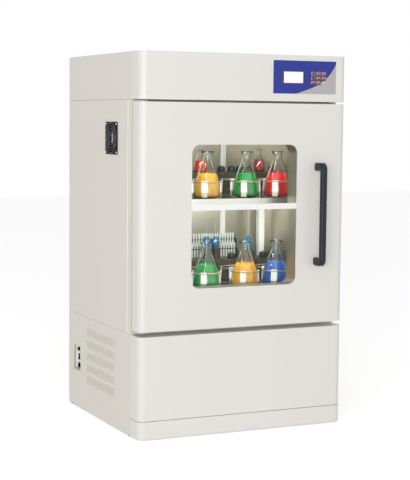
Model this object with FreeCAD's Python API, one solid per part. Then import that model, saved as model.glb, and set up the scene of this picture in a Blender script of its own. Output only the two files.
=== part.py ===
"""Upright two-tier incubator shaker, floor standing, with one left-hung glazed door.

Millimetres, +Z up, front faces -Y, origin at the middle of the footprint on the floor.
Each piece is a solid or a group of like solids in its own STEP file.
"""
import FreeCAD, Part
import math
import os

Vector = FreeCAD.Vector
X_AXIS = Vector(1, 0, 0)
Y_AXIS = Vector(0, 1, 0)
Z_AXIS = Vector(0, 0, 1)
FULL_TURN = 360.0
QUARTER_TURN = 90.0

# Sheets, corners and fits
CORNER_RADIUS = 26.0
SHEET = 1.5
SEAM = 0.8
COVER_SEAM = 2.0
FIT = 0.3
RUNNING_FIT = 0.05
OVERRUN = 20.0

# Widths from the platforms out to the side sheets
PLATFORM_WIDTH = 690.0
PLATFORM_SIDE_GAP = 20.0
SIDE_INSULATION = 55.0
CHAMBER_WIDTH = PLATFORM_WIDTH + PLATFORM_SIDE_GAP * 2
WIDTH = CHAMBER_WIDTH + SIDE_INSULATION * 2

# Heights from the floor up
FLOOR_GAP = 5.0
PLINTH_HEIGHT = 64.0
LOWER_COVER_HEIGHT = 307.0
FLOOR_INSULATION = 60.0
CHAMBER_HEIGHT = 740.0
CEILING_INSULATION = 51.0
GAP_BELOW_DOOR = 18.0
GAP_ABOVE_DOOR = 8.0
SHELL_HEIGHT = FLOOR_INSULATION + CHAMBER_HEIGHT + CEILING_INSULATION
DOOR_HEIGHT = SHELL_HEIGHT - GAP_BELOW_DOOR - GAP_ABOVE_DOOR
HEAD_HEIGHT = 171.0

# Depths from the front face back
COVER_DEPTH = 80.0
DOOR_THICKNESS = 70.0
GASKET_THICKNESS = 6.0
GASKET_WIDTH = 16.0
FRAME_DEPTH = 46.0
PLATFORM_FRONT_GAP = 28.0
PLATFORM_DEPTH = 380.0
PLATFORM_BACK_GAP = 76.0
DUCT_DEPTH = 88.0
DUCT_FLANGE = 22.0
BACK_INSULATION = 56.0
MOUTH_DEPTH = DOOR_THICKNESS + GASKET_THICKNESS + FRAME_DEPTH
CHAMBER_DEPTH = PLATFORM_FRONT_GAP + PLATFORM_DEPTH + PLATFORM_BACK_GAP + DUCT_DEPTH
CABINET_DEPTH = MOUTH_DEPTH + CHAMBER_DEPTH + BACK_INSULATION

# Chassis
TUBE = 40.0
TUBE_INSET = 6.0
DECK_THICKNESS = 6.0
FOOT_RADIUS = 19.0
FOOT_HEIGHT = 14.0
FOOT_SIDES = 8

# Louvred field on the left lower side
LOUVRE_ROWS = 5
LOUVRE_COLUMNS = 14
LOUVRE_HEIGHT = 31.0
LOUVRE_ROW_PITCH = 47.0
LOUVRE_PITCH = 21.5
LOUVRE_WIDTH = 10.0
LOUVRE_RISE = 4.0
LOUVRE_FIELD_DEPTH = 246.0
LOUVRE_FIELD_HEIGHT = 117.0

# Rear grille in front of the condenser
GRILLE_SLOTS = 8
GRILLE_SLOT_WIDTH = 280.0
GRILLE_SLOT_HEIGHT = 9.0
GRILLE_PITCH = 22.0
GRILLE_HEIGHT = 120.0

# Mains inlet recess on the left lower side
INLET_DEPTH_PLACE = 612.5
INLET_WIDTH = 81.0
INLET_BOTTOM = 147.0
INLET_HEIGHT = 104.0
INLET_RECESS = 15.0
INLET_FLANGE = 5.0
SOCKET_WIDTH = 27.0
SOCKET_HEIGHT = 20.0
SOCKET_BOTTOM = 9.5
SOCKET_WALL = 2.5
SOCKET_LENGTH = 22.0
PRONG_LENGTH = 12.0
PRONG_THICKNESS = 2.0
PRONG_HEIGHT = 5.0
ROCKER_WIDTH = 14.0
ROCKER_HEIGHT = 24.0
ROCKER_CENTRE = 54.0
ROCKER_PROUD = 4.0
ROCKER_BODY = 12.0
ROCKER_DRAFT = 1.0
ROCKER_FRAME = 2.5
FUSE_RADIUS = 7.5
FUSE_CENTRE = 86.0
FUSE_CAP = 7.0
FUSE_SIDES = 16
FUSE_BODY = 24.0
INLET_ROW = 54.5

# Side fan
FAN_SIZE = 120.0
FAN_CENTRE_DEPTH = 277.0
FAN_BELOW_CEILING = 91.0
FAN_THICKNESS = 30.0
FAN_PROUD = 3.0
FAN_BORE_RADIUS = 55.0
FAN_HUB_RADIUS = 20.0
FAN_BLADES = 5
FAN_BORE_SIDES = 24
FAN_HUB_SIDES = 10
FAN_BLADE_THICKNESS = 2.0
FAN_BLADE_CHORD = 22.0
FAN_PITCH_ANGLE = 35.0
FAN_TIP_CLEARANCE = 2.0
FAN_STRUT = 6.0
FAN_STRUT_DEPTH = 5.0
FAN_SHAFT_RADIUS = 3.0
GUARD_WIRE = 2.5
GUARD_RING_SIDES = 16
GUARD_RING_SHARES = (0.5, 1.0)
GUARD_TAB = 9.0
VENT_SLOTS = 4
VENT_SLOT_HEIGHT = 5.0
VENT_SLOT_WIDTH = 60.0
VENT_PITCH = 14.0

# Door and its window
WINDOW_LEFT = 203.0
WINDOW_WIDTH = 430.0
WINDOW_BOTTOM = 150.0
WINDOW_HEIGHT = 523.0
WINDOW_RADIUS = 32.0
GLASS = 4.0
GLASS_LAP = 10.0
GLASS_INSET = 8.0
CROSSBAR_BOTTOM = 284.0
CROSSBAR_HEIGHT = 21.5
CROSSBAR_SETBACK = 0.2
LINER_SHEET = 1.2
HINGE_SIDE_INSET = 18.0
HINGE_DEPTH = 30.0
HINGE_PIN_RADIUS = 5.0
HINGE_PIN_REACH = 12.0
HINGE_PLATE = 5.0
HINGE_PLATE_WIDTH = 34.0

# Handle
HANDLE_REACH = 60.0
HANDLE_RIGHT_INSET = 120.0
HANDLE_BOTTOM = 218.5
HANDLE_LENGTH = 386.5
HANDLE_WIDTH = 24.0
HANDLE_BAR = 22.0
HANDLE_FOOT = 30.0
HANDLE_BEND = 20.0
HANDLE_CHAMFER = 5.0
HANDLE_SCREW_RADIUS = 3.0
HANDLE_SCREW_LENGTH = 14.0
HANDLE_SCREW_SIDES = 6

# Head front and control panel
PANEL_RIGHT_INSET = 47.0
PANEL_WIDTH = 265.0
PANEL_HEIGHT = 122.0
PANEL_BOTTOM = 28.5
PANEL_FILM = 0.8
PANEL_CUT_MARGIN = 10.0
DISPLAY_LEFT = 43.0
DISPLAY_BOTTOM = 40.0
DISPLAY_WIDTH = 82.0
DISPLAY_HEIGHT = 41.0
KEY_COLUMNS = 3
KEY_ROWS = 3
KEY_LEFT = 160.0
KEY_BOTTOM = 36.0
KEY_WIDTH = 16.0
KEY_HEIGHT = 12.0
KEY_PITCH_ACROSS = 22.6
KEY_PITCH_UP = 16.6
KEY_PROUD = 1.2
KEY_TRAVEL = 0.8
KEY_CHAMFER = 0.6
BOARD_DEPTH = 9.0
BOARD_THICKNESS = 1.6
BOARD_POST = 6.0
BOARD_POST_INSET = 5.0

# Orbital drive
ORBIT_RADIUS = 13.0
IDLER_SPACING = 210.0
SHAFT_RADIUS = 12.0
PIN_RADIUS = 10.0
HOUSING_WIDTH = 60.0
HOUSING_FLANGE = 96.0
HOUSING_FLANGE_THICKNESS = 8.0
HOUSING_DROP = 66.0
HOUSING_STAND = 2.0
CRANK_GAP = 1.0
CRANK_THICKNESS = 16.0
CRANK_HALF_WIDTH = 20.0
CRANK_TAIL = 16.0
COUNTERWEIGHT_RADIUS = 92.0
COUNTERWEIGHT_HALF_ANGLE = 52.0
PULLEY_RADIUS = 92.0
PULLEY_TEETH = 30
TOOTH_DEPTH = 3.0
PULLEY_HEIGHT = 24.0
PULLEY_BELOW_HOUSING = 6.0
MOTOR_DISTANCE = 236.0
MOTOR_WIDTH = 110.0
MOTOR_PULLEY_RADIUS = 30.0
MOTOR_PULLEY_TEETH = 12
MOTOR_SHAFT_RADIUS = 7.0
MOTOR_SHAFT_LENGTH = 50.0
MOTOR_FLANGE = 140.0
MOTOR_FLANGE_THICKNESS = 8.0
BELT_THICKNESS = 3.0
BELT_HEIGHT = 14.0
BELT_SIDES = 16
MOTOR_BELT_SIDES = 6

# Shaking carriage
PLATFORM_SHEET = 3.0
PLATFORM_LIP = 24.0
PLATFORM_ABOVE_FLOOR = 77.0
TIER_PITCH = 347.0
POST = 25.0
POST_INSET = 2.0
POST_WALL = 2.0
CARRIAGE_BEAM = 44.0
CARRIAGE_BEAM_HEIGHT = 20.0
CARRIAGE_LENGTH = 560.0
CARRIAGE_CROSS = 300.0

# Flask clamps, a front and a rear row on each platform
CLAMP_FRONT_SHARES = (-0.50, -0.16, 0.32, 0.71)
CLAMP_REAR_SHARES = (-0.47, -0.05, 0.37, 0.79)
CLAMP_TURN = 54.0
CLAMP_FRONT_INSET = 66.0
CLAMP_REAR_INSET = 196.0
FLASK_RADIUS = 52.0
CLAMP_PLAY = 2.5
CLAMP_STRIP = 25.0
CLAMP_SHEET = 1.5
CLAMP_TOP = 70.0
CLAMP_LEAN = 3.5
SPRING_HEIGHT = 62.0
SPRING_WIRE = 3.0

# Air side behind the duct panel
DUCT_SHEET = 1.2
DUCT_INTAKE_RADIUS = 62.0
DUCT_INTAKE_HEIGHT = 470.0
DUCT_SLOT_WIDTH = 90.0
DUCT_SLOT_HEIGHT = 12.0
DUCT_SLOTS_ACROSS = 4
DUCT_SLOT_PITCH = 150.0
DUCT_SLOT_LOW = 60.0
DUCT_SLOT_HIGH = 690.0
EVAPORATOR_WIDTH = 420.0
EVAPORATOR_HEIGHT = 190.0
EVAPORATOR_THICKNESS = 46.0
EVAPORATOR_LOW = 130.0
EVAPORATOR_FINS = 10
EVAPORATOR_SPINE = 12.0
FIN_SHARE = 0.45
HEATER_LENGTH = 420.0
HEATER_HEIGHT = 40.0
HEATER_THICKNESS = 20.0
HEATER_BELOW_CEILING = 80.0
HEATER_FINS = 8
HEATER_SPINE = 8.0
BLOWER_RADIUS = 70.0
BLOWER_DEPTH = 34.0
BLOWER_HUB_RADIUS = 22.0
BLOWER_BLADES = 6
BLOWER_BLADE_THICKNESS = 2.5
BLOWER_BACK_PLATE = 3.0
BLOWER_MOTOR_WIDTH = 76.0
BLOWER_MOTOR_LENGTH = 44.0
BLOWER_SHAFT_RADIUS = 4.0
BLOWER_GAP = 8.0

# Refrigeration in the lower housing
COMPRESSOR_RADIUS = 72.0
COMPRESSOR_HEIGHT = 170.0
COMPRESSOR_CROWN = 20.0
COMPRESSOR_SIDES = 12
COMPRESSOR_SIDE = -190.0
COMPRESSOR_DEPTH = 560.0
COMPRESSOR_BASE = 190.0
COMPRESSOR_BASE_THICKNESS = 4.0
CONDENSER_WIDTH = 300.0
CONDENSER_HEIGHT = 190.0
CONDENSER_THICKNESS = 60.0
CONDENSER_FINS = 10
CONDENSER_SPINE = 14.0
CONDENSER_BACK_GAP = 14.0
CONDENSER_LEFT = 0.0

# Levels and faces worked out from the sizes above
FRONT = (HANDLE_REACH - CABINET_DEPTH) / 2
BACK = FRONT + CABINET_DEPTH
RIGHT = WIDTH / 2
LEFT = -RIGHT
PLINTH_TOP = FLOOR_GAP + PLINTH_HEIGHT
COVER_BOTTOM = PLINTH_TOP + COVER_SEAM
COVER_TOP = COVER_BOTTOM + LOWER_COVER_HEIGHT
DOOR_BOTTOM = COVER_TOP + GAP_BELOW_DOOR
DOOR_TOP = DOOR_BOTTOM + DOOR_HEIGHT
HEAD_BOTTOM = DOOR_TOP + GAP_ABOVE_DOOR
TOP = HEAD_BOTTOM + HEAD_HEIGHT
DOOR_BACK = FRONT + DOOR_THICKNESS
FRAME_FRONT = DOOR_BACK + GASKET_THICKNESS
FRAME_BACK = FRAME_FRONT + FRAME_DEPTH
DECK_TOP = COVER_TOP
DECK_BOTTOM = DECK_TOP - DECK_THICKNESS
SHELL_BOTTOM = COVER_TOP + SEAM
SHELL_TOP = HEAD_BOTTOM - SEAM
CHAMBER_FLOOR = DECK_TOP + FLOOR_INSULATION
CHAMBER_CEILING = CHAMBER_FLOOR + CHAMBER_HEIGHT
CHAMBER_RIGHT = CHAMBER_WIDTH / 2
CHAMBER_BACK = BACK - BACK_INSULATION
DUCT_FACE = CHAMBER_BACK - DUCT_DEPTH
LOWER_PLATFORM_HEIGHT = CHAMBER_FLOOR + PLATFORM_ABOVE_FLOOR
UPPER_PLATFORM_HEIGHT = LOWER_PLATFORM_HEIGHT + TIER_PITCH
PLATFORM_FRONT = FRAME_BACK + PLATFORM_FRONT_GAP
CARRIAGE_Y = PLATFORM_FRONT + PLATFORM_DEPTH / 2
DRIVE_Y = CARRIAGE_Y - ORBIT_RADIUS
MOTOR_Y = DRIVE_Y + MOTOR_DISTANCE
CRANK_BOTTOM = CHAMBER_FLOOR + HOUSING_STAND + CRANK_GAP
CRANK_TOP = CRANK_BOTTOM + CRANK_THICKNESS
CARRIAGE_TOP = LOWER_PLATFORM_HEIGHT - PLATFORM_SHEET
CARRIAGE_BOTTOM = CARRIAGE_TOP - CARRIAGE_BEAM_HEIGHT
HOUSING_BOTTOM = DECK_BOTTOM - HOUSING_DROP
PULLEY_TOP = HOUSING_BOTTOM - PULLEY_BELOW_HOUSING
PULLEY_BOTTOM = PULLEY_TOP - PULLEY_HEIGHT
HINGE_X = LEFT + HINGE_SIDE_INSET
HINGE_Y = FRONT + HINGE_DEPTH
WINDOW_X = LEFT + WINDOW_LEFT
WINDOW_Z = DOOR_BOTTOM + WINDOW_BOTTOM
PANEL_X = RIGHT - PANEL_RIGHT_INSET - PANEL_WIDTH
PANEL_Z = HEAD_BOTTOM + PANEL_BOTTOM
CHASSIS_BOTTOM = FOOT_HEIGHT
CHASSIS_FRONT = FRONT + COVER_DEPTH + TUBE_INSET
CHASSIS_BACK = BACK - SHEET - FIT
CHASSIS_RIGHT = RIGHT - SHEET - FIT
INLET_Y = FRONT + INLET_DEPTH_PLACE
FAN_Y = FRONT + FAN_CENTRE_DEPTH
FAN_CENTRE_HEIGHT = CHAMBER_CEILING - FAN_BELOW_CEILING
BLOWER_Z = CHAMBER_FLOOR + DUCT_INTAKE_HEIGHT


def box(x0, x1, y0, y1, z0, z1):
    """A block between two opposite corners."""
    return Part.makeBox(x1 - x0, y1 - y0, z1 - z0, Vector(x0, y0, z0))


def rod(radius, length, base, axis):
    """A cylinder that starts at base and runs along axis."""
    return Part.makeCylinder(radius, length, base, axis)


def prism(points, sweep):
    """A flat outline swept along one vector."""
    return Part.Face(Part.makePolygon(points + points[:1])).extrude(sweep)


def many_sided(radius, sides, base, axis, length):
    """A regular prism that stands for a cast or moulded round body."""
    turn = FreeCAD.Rotation(Z_AXIS, axis)
    points = []
    for i in range(sides):
        angle = 2 * math.pi * i / sides
        points.append(base + turn.multVec(Vector(radius * math.cos(angle), radius * math.sin(angle), 0)))
    return prism(points, axis * length)


def bar_with_round_front(half_width, y0, y1, z0, z1, radius):
    """A block whose two upright front edges are rounded."""
    block = box(-half_width, half_width, y0, y1, z0, z1)
    fronts = [e for e in block.Edges if upright_at(e, y0)]
    return block.makeFillet(radius, fronts)


def upright_at(edge, y):
    """True for a vertical edge that lies at the given depth."""
    bounds = edge.BoundBox
    return bounds.ZLength > bounds.XLength + bounds.YLength and abs(bounds.YMin - y) < SEAM


def front_tray(y0, y1, z0, z1):
    """A folded cover: rounded front, two flanks, top and bottom flanges, open behind."""
    outer = bar_with_round_front(RIGHT, y0, y1, z0, z1, CORNER_RADIUS)
    inner = bar_with_round_front(
        RIGHT - SHEET, y0 + SHEET, y1 + OVERRUN, z0 + SHEET, z1 - SHEET, CORNER_RADIUS - SHEET)
    return outer.cut(inner)


def rounded_window(x0, width, z0, height, radius, y0, y1):
    """An upright panel with rounded corners, as a cutter, a pane or a tunnel core."""
    block = box(x0, x0 + width, y0, y1, z0, z0 + height)
    corners = [e for e in block.Edges if e.BoundBox.YLength > e.BoundBox.XLength + e.BoundBox.ZLength]
    return block.makeFillet(radius, corners)


def comb(x0, x1, y0, y1, z0, z1, spine, fins):
    """A finned block: a spine along the back with upright fins in front of it."""
    pitch = (x1 - x0) / fins
    parts = [box(x0, x1, y1 - spine, y1, z0, z1)]
    for i in range(fins):
        left = x0 + pitch * i
        parts.append(box(left, left + pitch * FIN_SHARE, y0, y1 - spine, z0, z1))
    return parts[0].fuse(parts[1:]).removeSplitter()


def key_places():
    """Lower left corner of each key in the panel, bottom row first."""
    for row in range(KEY_ROWS):
        for column in range(KEY_COLUMNS):
            x = PANEL_X + KEY_LEFT + KEY_PITCH_ACROSS * column
            z = PANEL_Z + KEY_BOTTOM + KEY_PITCH_UP * row
            yield x, z


def clamp_places(height):
    """Middle of each flask clamp on a platform at the given height."""
    half = PLATFORM_WIDTH / 2
    for share in CLAMP_FRONT_SHARES:
        yield Vector(share * half, PLATFORM_FRONT + CLAMP_FRONT_INSET, height)
    for share in CLAMP_REAR_SHARES:
        yield Vector(share * half, PLATFORM_FRONT + CLAMP_REAR_INSET, height)


def shaft_places():
    """Axis of the driven shaft, then of the two idlers."""
    return [
        Vector(0, DRIVE_Y, 0),
        Vector(-IDLER_SPACING, DRIVE_Y, 0),
        Vector(IDLER_SPACING, DRIVE_Y, 0),
    ]


def neck_holes(z0, z1):
    """Square openings for the three bearing housings through a floor between two heights."""
    half = HOUSING_WIDTH / 2 + FIT
    return [box(place.x - half, place.x + half, place.y - half, place.y + half, z0 - FIT, z1 + FIT)
            for place in shaft_places()]


def foot_places():
    """Middle of each levelling foot."""
    inset = TUBE / 2
    for x in (-CHASSIS_RIGHT + inset, CHASSIS_RIGHT - inset):
        for y in (CHASSIS_FRONT + inset, CHASSIS_BACK - inset):
            yield Vector(x, y, 0)


def chassis_frame():
    """Welded tube frame with corner posts, a machine shelf and the deck on top."""
    low = CHASSIS_BOTTOM
    outer = box(-CHASSIS_RIGHT, CHASSIS_RIGHT, CHASSIS_FRONT, CHASSIS_BACK, low, DECK_TOP)
    side_window = box(
        -CHASSIS_RIGHT - OVERRUN, CHASSIS_RIGHT + OVERRUN,
        CHASSIS_FRONT + TUBE, CHASSIS_BACK - TUBE, low + TUBE, DECK_BOTTOM)
    front_window = box(
        -CHASSIS_RIGHT + TUBE, CHASSIS_RIGHT - TUBE,
        CHASSIS_FRONT - OVERRUN, CHASSIS_BACK + OVERRUN, low + TUBE, DECK_BOTTOM)
    floor_window = box(
        -CHASSIS_RIGHT + TUBE, CHASSIS_RIGHT - TUBE,
        CHASSIS_FRONT + TUBE, CHASSIS_BACK - TUBE, low - OVERRUN, DECK_BOTTOM)
    frame = outer.cut([side_window, front_window, floor_window])
    shelf = box(
        -CHASSIS_RIGHT + TUBE, CHASSIS_RIGHT - TUBE,
        CHASSIS_FRONT + TUBE, CHASSIS_BACK - TUBE, low + TUBE - DECK_THICKNESS, low + TUBE)
    return frame.fuse(shelf).cut(neck_holes(DECK_BOTTOM, DECK_TOP)).removeSplitter()


def levelling_feet():
    """Four round feet screwed up against the frame's corners."""
    return Part.makeCompound([many_sided(FOOT_RADIUS, FOOT_SIDES, place, Z_AXIS, FOOT_HEIGHT)
                              for place in foot_places()])


def plinth_cover():
    """Low front cover along the floor."""
    return front_tray(FRONT, FRONT + COVER_DEPTH, FLOOR_GAP, PLINTH_TOP)


def lower_front_cover():
    """Tall front cover of the machine space."""
    return front_tray(FRONT, FRONT + COVER_DEPTH, COVER_BOTTOM, COVER_TOP)


def louvres(x):
    """Rows of pressed hoods on the left side whose mouths face the front."""
    hoods = []
    for row in range(LOUVRE_ROWS):
        z = LOUVRE_FIELD_HEIGHT + LOUVRE_ROW_PITCH * row
        for column in range(LOUVRE_COLUMNS):
            y = FRONT + LOUVRE_FIELD_DEPTH + LOUVRE_PITCH * column
            section = [Vector(x, y, z), Vector(x, y + LOUVRE_WIDTH, z), Vector(x - LOUVRE_RISE, y, z)]
            hoods.append(prism(section, Vector(0, 0, LOUVRE_HEIGHT)))
    return hoods


def lower_side_panels():
    """Left panel with louvres and the inlet opening, and the right one; a groove marks the plinth."""
    y0 = FRONT + COVER_DEPTH + SEAM
    left_groove = box(LEFT - SEAM, LEFT + SEAM, y0 - SEAM, BACK, PLINTH_TOP, COVER_BOTTOM)
    right_groove = box(RIGHT - SEAM, RIGHT + SEAM, y0 - SEAM, BACK, PLINTH_TOP, COVER_BOTTOM)
    left = box(LEFT, LEFT + SHEET, y0, BACK - SHEET - FIT, FLOOR_GAP, COVER_TOP)
    inlet = box(LEFT - SHEET, LEFT + SHEET * 2, INLET_Y, INLET_Y + INLET_WIDTH,
                INLET_BOTTOM, INLET_BOTTOM + INLET_HEIGHT)
    left = left.cut([inlet, left_groove]).fuse(louvres(LEFT))
    right = box(RIGHT - SHEET, RIGHT, y0, BACK - SHEET - FIT, FLOOR_GAP, COVER_TOP)
    return Part.makeCompound([left, right.cut(right_groove)])


def side_panels():
    """Outer side sheets of the chamber, the left one with the fan opening."""
    y0 = FRAME_BACK + SEAM
    y1 = BACK - SHEET - FIT
    left = box(LEFT, LEFT + SHEET, y0, y1, SHELL_BOTTOM, SHELL_TOP)
    half = FAN_SIZE / 2 + FIT
    fan_hole = box(LEFT - SHEET, LEFT + SHEET * 2, FAN_Y - half, FAN_Y + half,
                   FAN_CENTRE_HEIGHT - half, FAN_CENTRE_HEIGHT + half)
    right = box(RIGHT - SHEET, RIGHT, y0, y1, SHELL_BOTTOM, SHELL_TOP)
    return Part.makeCompound([left.cut(fan_hole), right])


def rear_panel():
    """Full-height back sheet with the condenser grille near its foot."""
    sheet = box(LEFT, RIGHT, BACK - SHEET, BACK, FLOOR_GAP, SHELL_TOP)
    slots = []
    for i in range(GRILLE_SLOTS):
        z = GRILLE_HEIGHT + GRILLE_PITCH * i
        slots.append(box(-GRILLE_SLOT_WIDTH / 2, GRILLE_SLOT_WIDTH / 2,
                         BACK - SHEET * 2, BACK + SHEET, z, z + GRILLE_SLOT_HEIGHT))
    return sheet.cut(slots)


def front_frame():
    """Folded steel frame round the chamber mouth that the door seals on."""
    ring = box(LEFT, RIGHT, FRAME_FRONT, FRAME_BACK, SHELL_BOTTOM, SHELL_TOP)
    mouth = box(-CHAMBER_RIGHT, CHAMBER_RIGHT, FRAME_FRONT - SHEET, FRAME_BACK + SHEET,
                CHAMBER_FLOOR, CHAMBER_CEILING)
    channel = box(LEFT + SHEET, RIGHT - SHEET, FRAME_FRONT + SHEET, FRAME_BACK + SHEET,
                  SHELL_BOTTOM + SHEET, SHELL_TOP - SHEET)
    core = box(-CHAMBER_RIGHT - SHEET, CHAMBER_RIGHT + SHEET, FRAME_FRONT, FRAME_BACK + SHEET,
               CHAMBER_FLOOR - SHEET, CHAMBER_CEILING + SHEET)
    return ring.cut(mouth).cut(channel.cut(core))


def chamber_liner():
    """Stainless inner box, open at the front, with shaft, fan and vent openings."""
    outer = box(-CHAMBER_RIGHT - LINER_SHEET, CHAMBER_RIGHT + LINER_SHEET,
                FRAME_BACK + FIT, CHAMBER_BACK + LINER_SHEET,
                CHAMBER_FLOOR - LINER_SHEET, CHAMBER_CEILING + LINER_SHEET)
    inner = box(-CHAMBER_RIGHT, CHAMBER_RIGHT, FRAME_BACK - OVERRUN, CHAMBER_BACK,
                CHAMBER_FLOOR, CHAMBER_CEILING)
    cutters = neck_holes(CHAMBER_FLOOR - LINER_SHEET, CHAMBER_FLOOR)
    cutters.append(rod(BLOWER_SHAFT_RADIUS * 2, OVERRUN, Vector(0, CHAMBER_BACK - OVERRUN / 2, BLOWER_Z),
                       Y_AXIS))
    for i in range(VENT_SLOTS):
        z = FAN_CENTRE_HEIGHT + VENT_PITCH * (i - (VENT_SLOTS - 1) / 2)
        cutters.append(box(-CHAMBER_RIGHT - OVERRUN / 2, -CHAMBER_RIGHT + OVERRUN / 2,
                           FAN_Y - VENT_SLOT_WIDTH / 2, FAN_Y + VENT_SLOT_WIDTH / 2,
                           z - VENT_SLOT_HEIGHT / 2, z + VENT_SLOT_HEIGHT / 2))
    return outer.cut(inner).cut(cutters)


def foam_insulation():
    """Foam between the liner and the outer sheets, with pockets for what passes through."""
    outer = box(LEFT + SHEET + FIT, RIGHT - SHEET - FIT, FRAME_BACK + SEAM, BACK - SHEET - FIT,
                SHELL_BOTTOM, SHELL_TOP)
    inner = box(-CHAMBER_RIGHT - LINER_SHEET - FIT, CHAMBER_RIGHT + LINER_SHEET + FIT,
                FRAME_BACK - OVERRUN, CHAMBER_BACK + LINER_SHEET + FIT,
                CHAMBER_FLOOR - LINER_SHEET - FIT, CHAMBER_CEILING + LINER_SHEET + FIT)
    cutters = neck_holes(SHELL_BOTTOM, CHAMBER_FLOOR)
    motor = BLOWER_MOTOR_WIDTH / 2 + FIT
    cutters.append(box(-motor, motor, CHAMBER_BACK, BACK, BLOWER_Z - motor, BLOWER_Z + motor))
    half = FAN_SIZE / 2 + FIT
    cutters.append(box(LEFT, LEFT + FAN_THICKNESS, FAN_Y - half, FAN_Y + half,
                       FAN_CENTRE_HEIGHT - half, FAN_CENTRE_HEIGHT + half))
    vent = VENT_SLOT_WIDTH / 2
    cutters.append(box(LEFT, -CHAMBER_RIGHT, FAN_Y - vent, FAN_Y + vent,
                       FAN_CENTRE_HEIGHT - vent, FAN_CENTRE_HEIGHT + vent))
    return outer.cut(inner).cut(cutters)


def head_cover():
    """Top housing: roof, two sides and back, open below and in front."""
    y0 = FRONT + COVER_DEPTH + SEAM
    outer = box(LEFT, RIGHT, y0, BACK, HEAD_BOTTOM, TOP)
    inner = box(LEFT + SHEET, RIGHT - SHEET, y0 - OVERRUN, BACK - SHEET, HEAD_BOTTOM - OVERRUN,
                TOP - SHEET)
    return outer.cut(inner)


def head_front_cover():
    """Front cover of the head, open behind the control panel."""
    tray = front_tray(FRONT, FRONT + COVER_DEPTH, HEAD_BOTTOM, TOP)
    hole = box(PANEL_X + PANEL_CUT_MARGIN, PANEL_X + PANEL_WIDTH - PANEL_CUT_MARGIN,
               FRONT - SHEET, FRONT + SHEET * 2,
               PANEL_Z + PANEL_CUT_MARGIN, PANEL_Z + PANEL_HEIGHT - PANEL_CUT_MARGIN)
    return tray.cut(hole)


def display_hole(clearance, y0, y1):
    """The display's outline in the panel, grown by a clearance."""
    x = PANEL_X + DISPLAY_LEFT
    z = PANEL_Z + DISPLAY_BOTTOM
    return box(x - clearance, x + DISPLAY_WIDTH + clearance, y0, y1,
               z - clearance, z + DISPLAY_HEIGHT + clearance)


def control_panel():
    """Film over the head front with openings for the display and the keys."""
    film = box(PANEL_X, PANEL_X + PANEL_WIDTH, FRONT - PANEL_FILM, FRONT,
               PANEL_Z, PANEL_Z + PANEL_HEIGHT)
    cutters = [display_hole(FIT, FRONT - OVERRUN, FRONT + OVERRUN)]
    for x, z in key_places():
        cutters.append(box(x - FIT, x + KEY_WIDTH + FIT, FRONT - OVERRUN, FRONT + OVERRUN,
                           z - FIT, z + KEY_HEIGHT + FIT))
    return film.cut(cutters)


def display_window():
    """Display module seated on the circuit board, its face just under the film's."""
    return display_hole(0, FRONT - PANEL_FILM / 2, FRONT + BOARD_DEPTH)


def circuit_board():
    """Board behind the panel on four posts that meet the front cover."""
    x0 = PANEL_X
    x1 = PANEL_X + PANEL_WIDTH
    z0 = PANEL_Z
    z1 = PANEL_Z + PANEL_HEIGHT
    y = FRONT + BOARD_DEPTH
    board = box(x0, x1, y, y + BOARD_THICKNESS, z0, z1)
    posts = []
    half = BOARD_POST / 2
    for x in (x0 + BOARD_POST_INSET, x1 - BOARD_POST_INSET):
        for z in (z0 + BOARD_POST_INSET, z1 - BOARD_POST_INSET):
            posts.append(box(x - half, x + half, FRONT + SHEET, y, z - half, z + half))
    return board.fuse(posts)


def panel_key(x, z):
    """One key with chamfered front edges; it travels back towards the board."""
    y0 = FRONT - PANEL_FILM - KEY_PROUD
    y1 = FRONT + BOARD_DEPTH - KEY_TRAVEL - FIT
    block = box(x, x + KEY_WIDTH, y0, y1, z, z + KEY_HEIGHT)
    rim = [e for e in block.Edges if e.BoundBox.YMax < y0 + SEAM / 2]
    return block.makeChamfer(KEY_CHAMFER, rim)


def fan_frame():
    """Square axial fan housing with its bore and the hub on four struts."""
    x0 = LEFT - FAN_PROUD
    x1 = x0 + FAN_THICKNESS
    half = FAN_SIZE / 2
    centre = Vector(x0, FAN_Y, FAN_CENTRE_HEIGHT)
    body = box(x0, x1, FAN_Y - half, FAN_Y + half, FAN_CENTRE_HEIGHT - half, FAN_CENTRE_HEIGHT + half)
    body = body.cut(many_sided(FAN_BORE_RADIUS, FAN_BORE_SIDES, centre, X_AXIS, FAN_THICKNESS))
    back = x1 - FAN_STRUT_DEPTH
    strut = FAN_STRUT / 2
    reach = FAN_BORE_RADIUS + FAN_STRUT / 2
    across = box(back, x1, FAN_Y - reach, FAN_Y + reach,
                 FAN_CENTRE_HEIGHT - strut, FAN_CENTRE_HEIGHT + strut)
    upright = box(back, x1, FAN_Y - strut, FAN_Y + strut,
                  FAN_CENTRE_HEIGHT - reach, FAN_CENTRE_HEIGHT + reach)
    hub = many_sided(FAN_HUB_RADIUS, FAN_HUB_SIDES, Vector(back, FAN_Y, FAN_CENTRE_HEIGHT), X_AXIS,
                     FAN_STRUT_DEPTH)
    bearing = rod(FAN_SHAFT_RADIUS + RUNNING_FIT, FAN_STRUT_DEPTH, Vector(back, FAN_Y, FAN_CENTRE_HEIGHT),
                  X_AXIS)
    return body.fuse([across, upright, hub]).cut(bearing)


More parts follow.
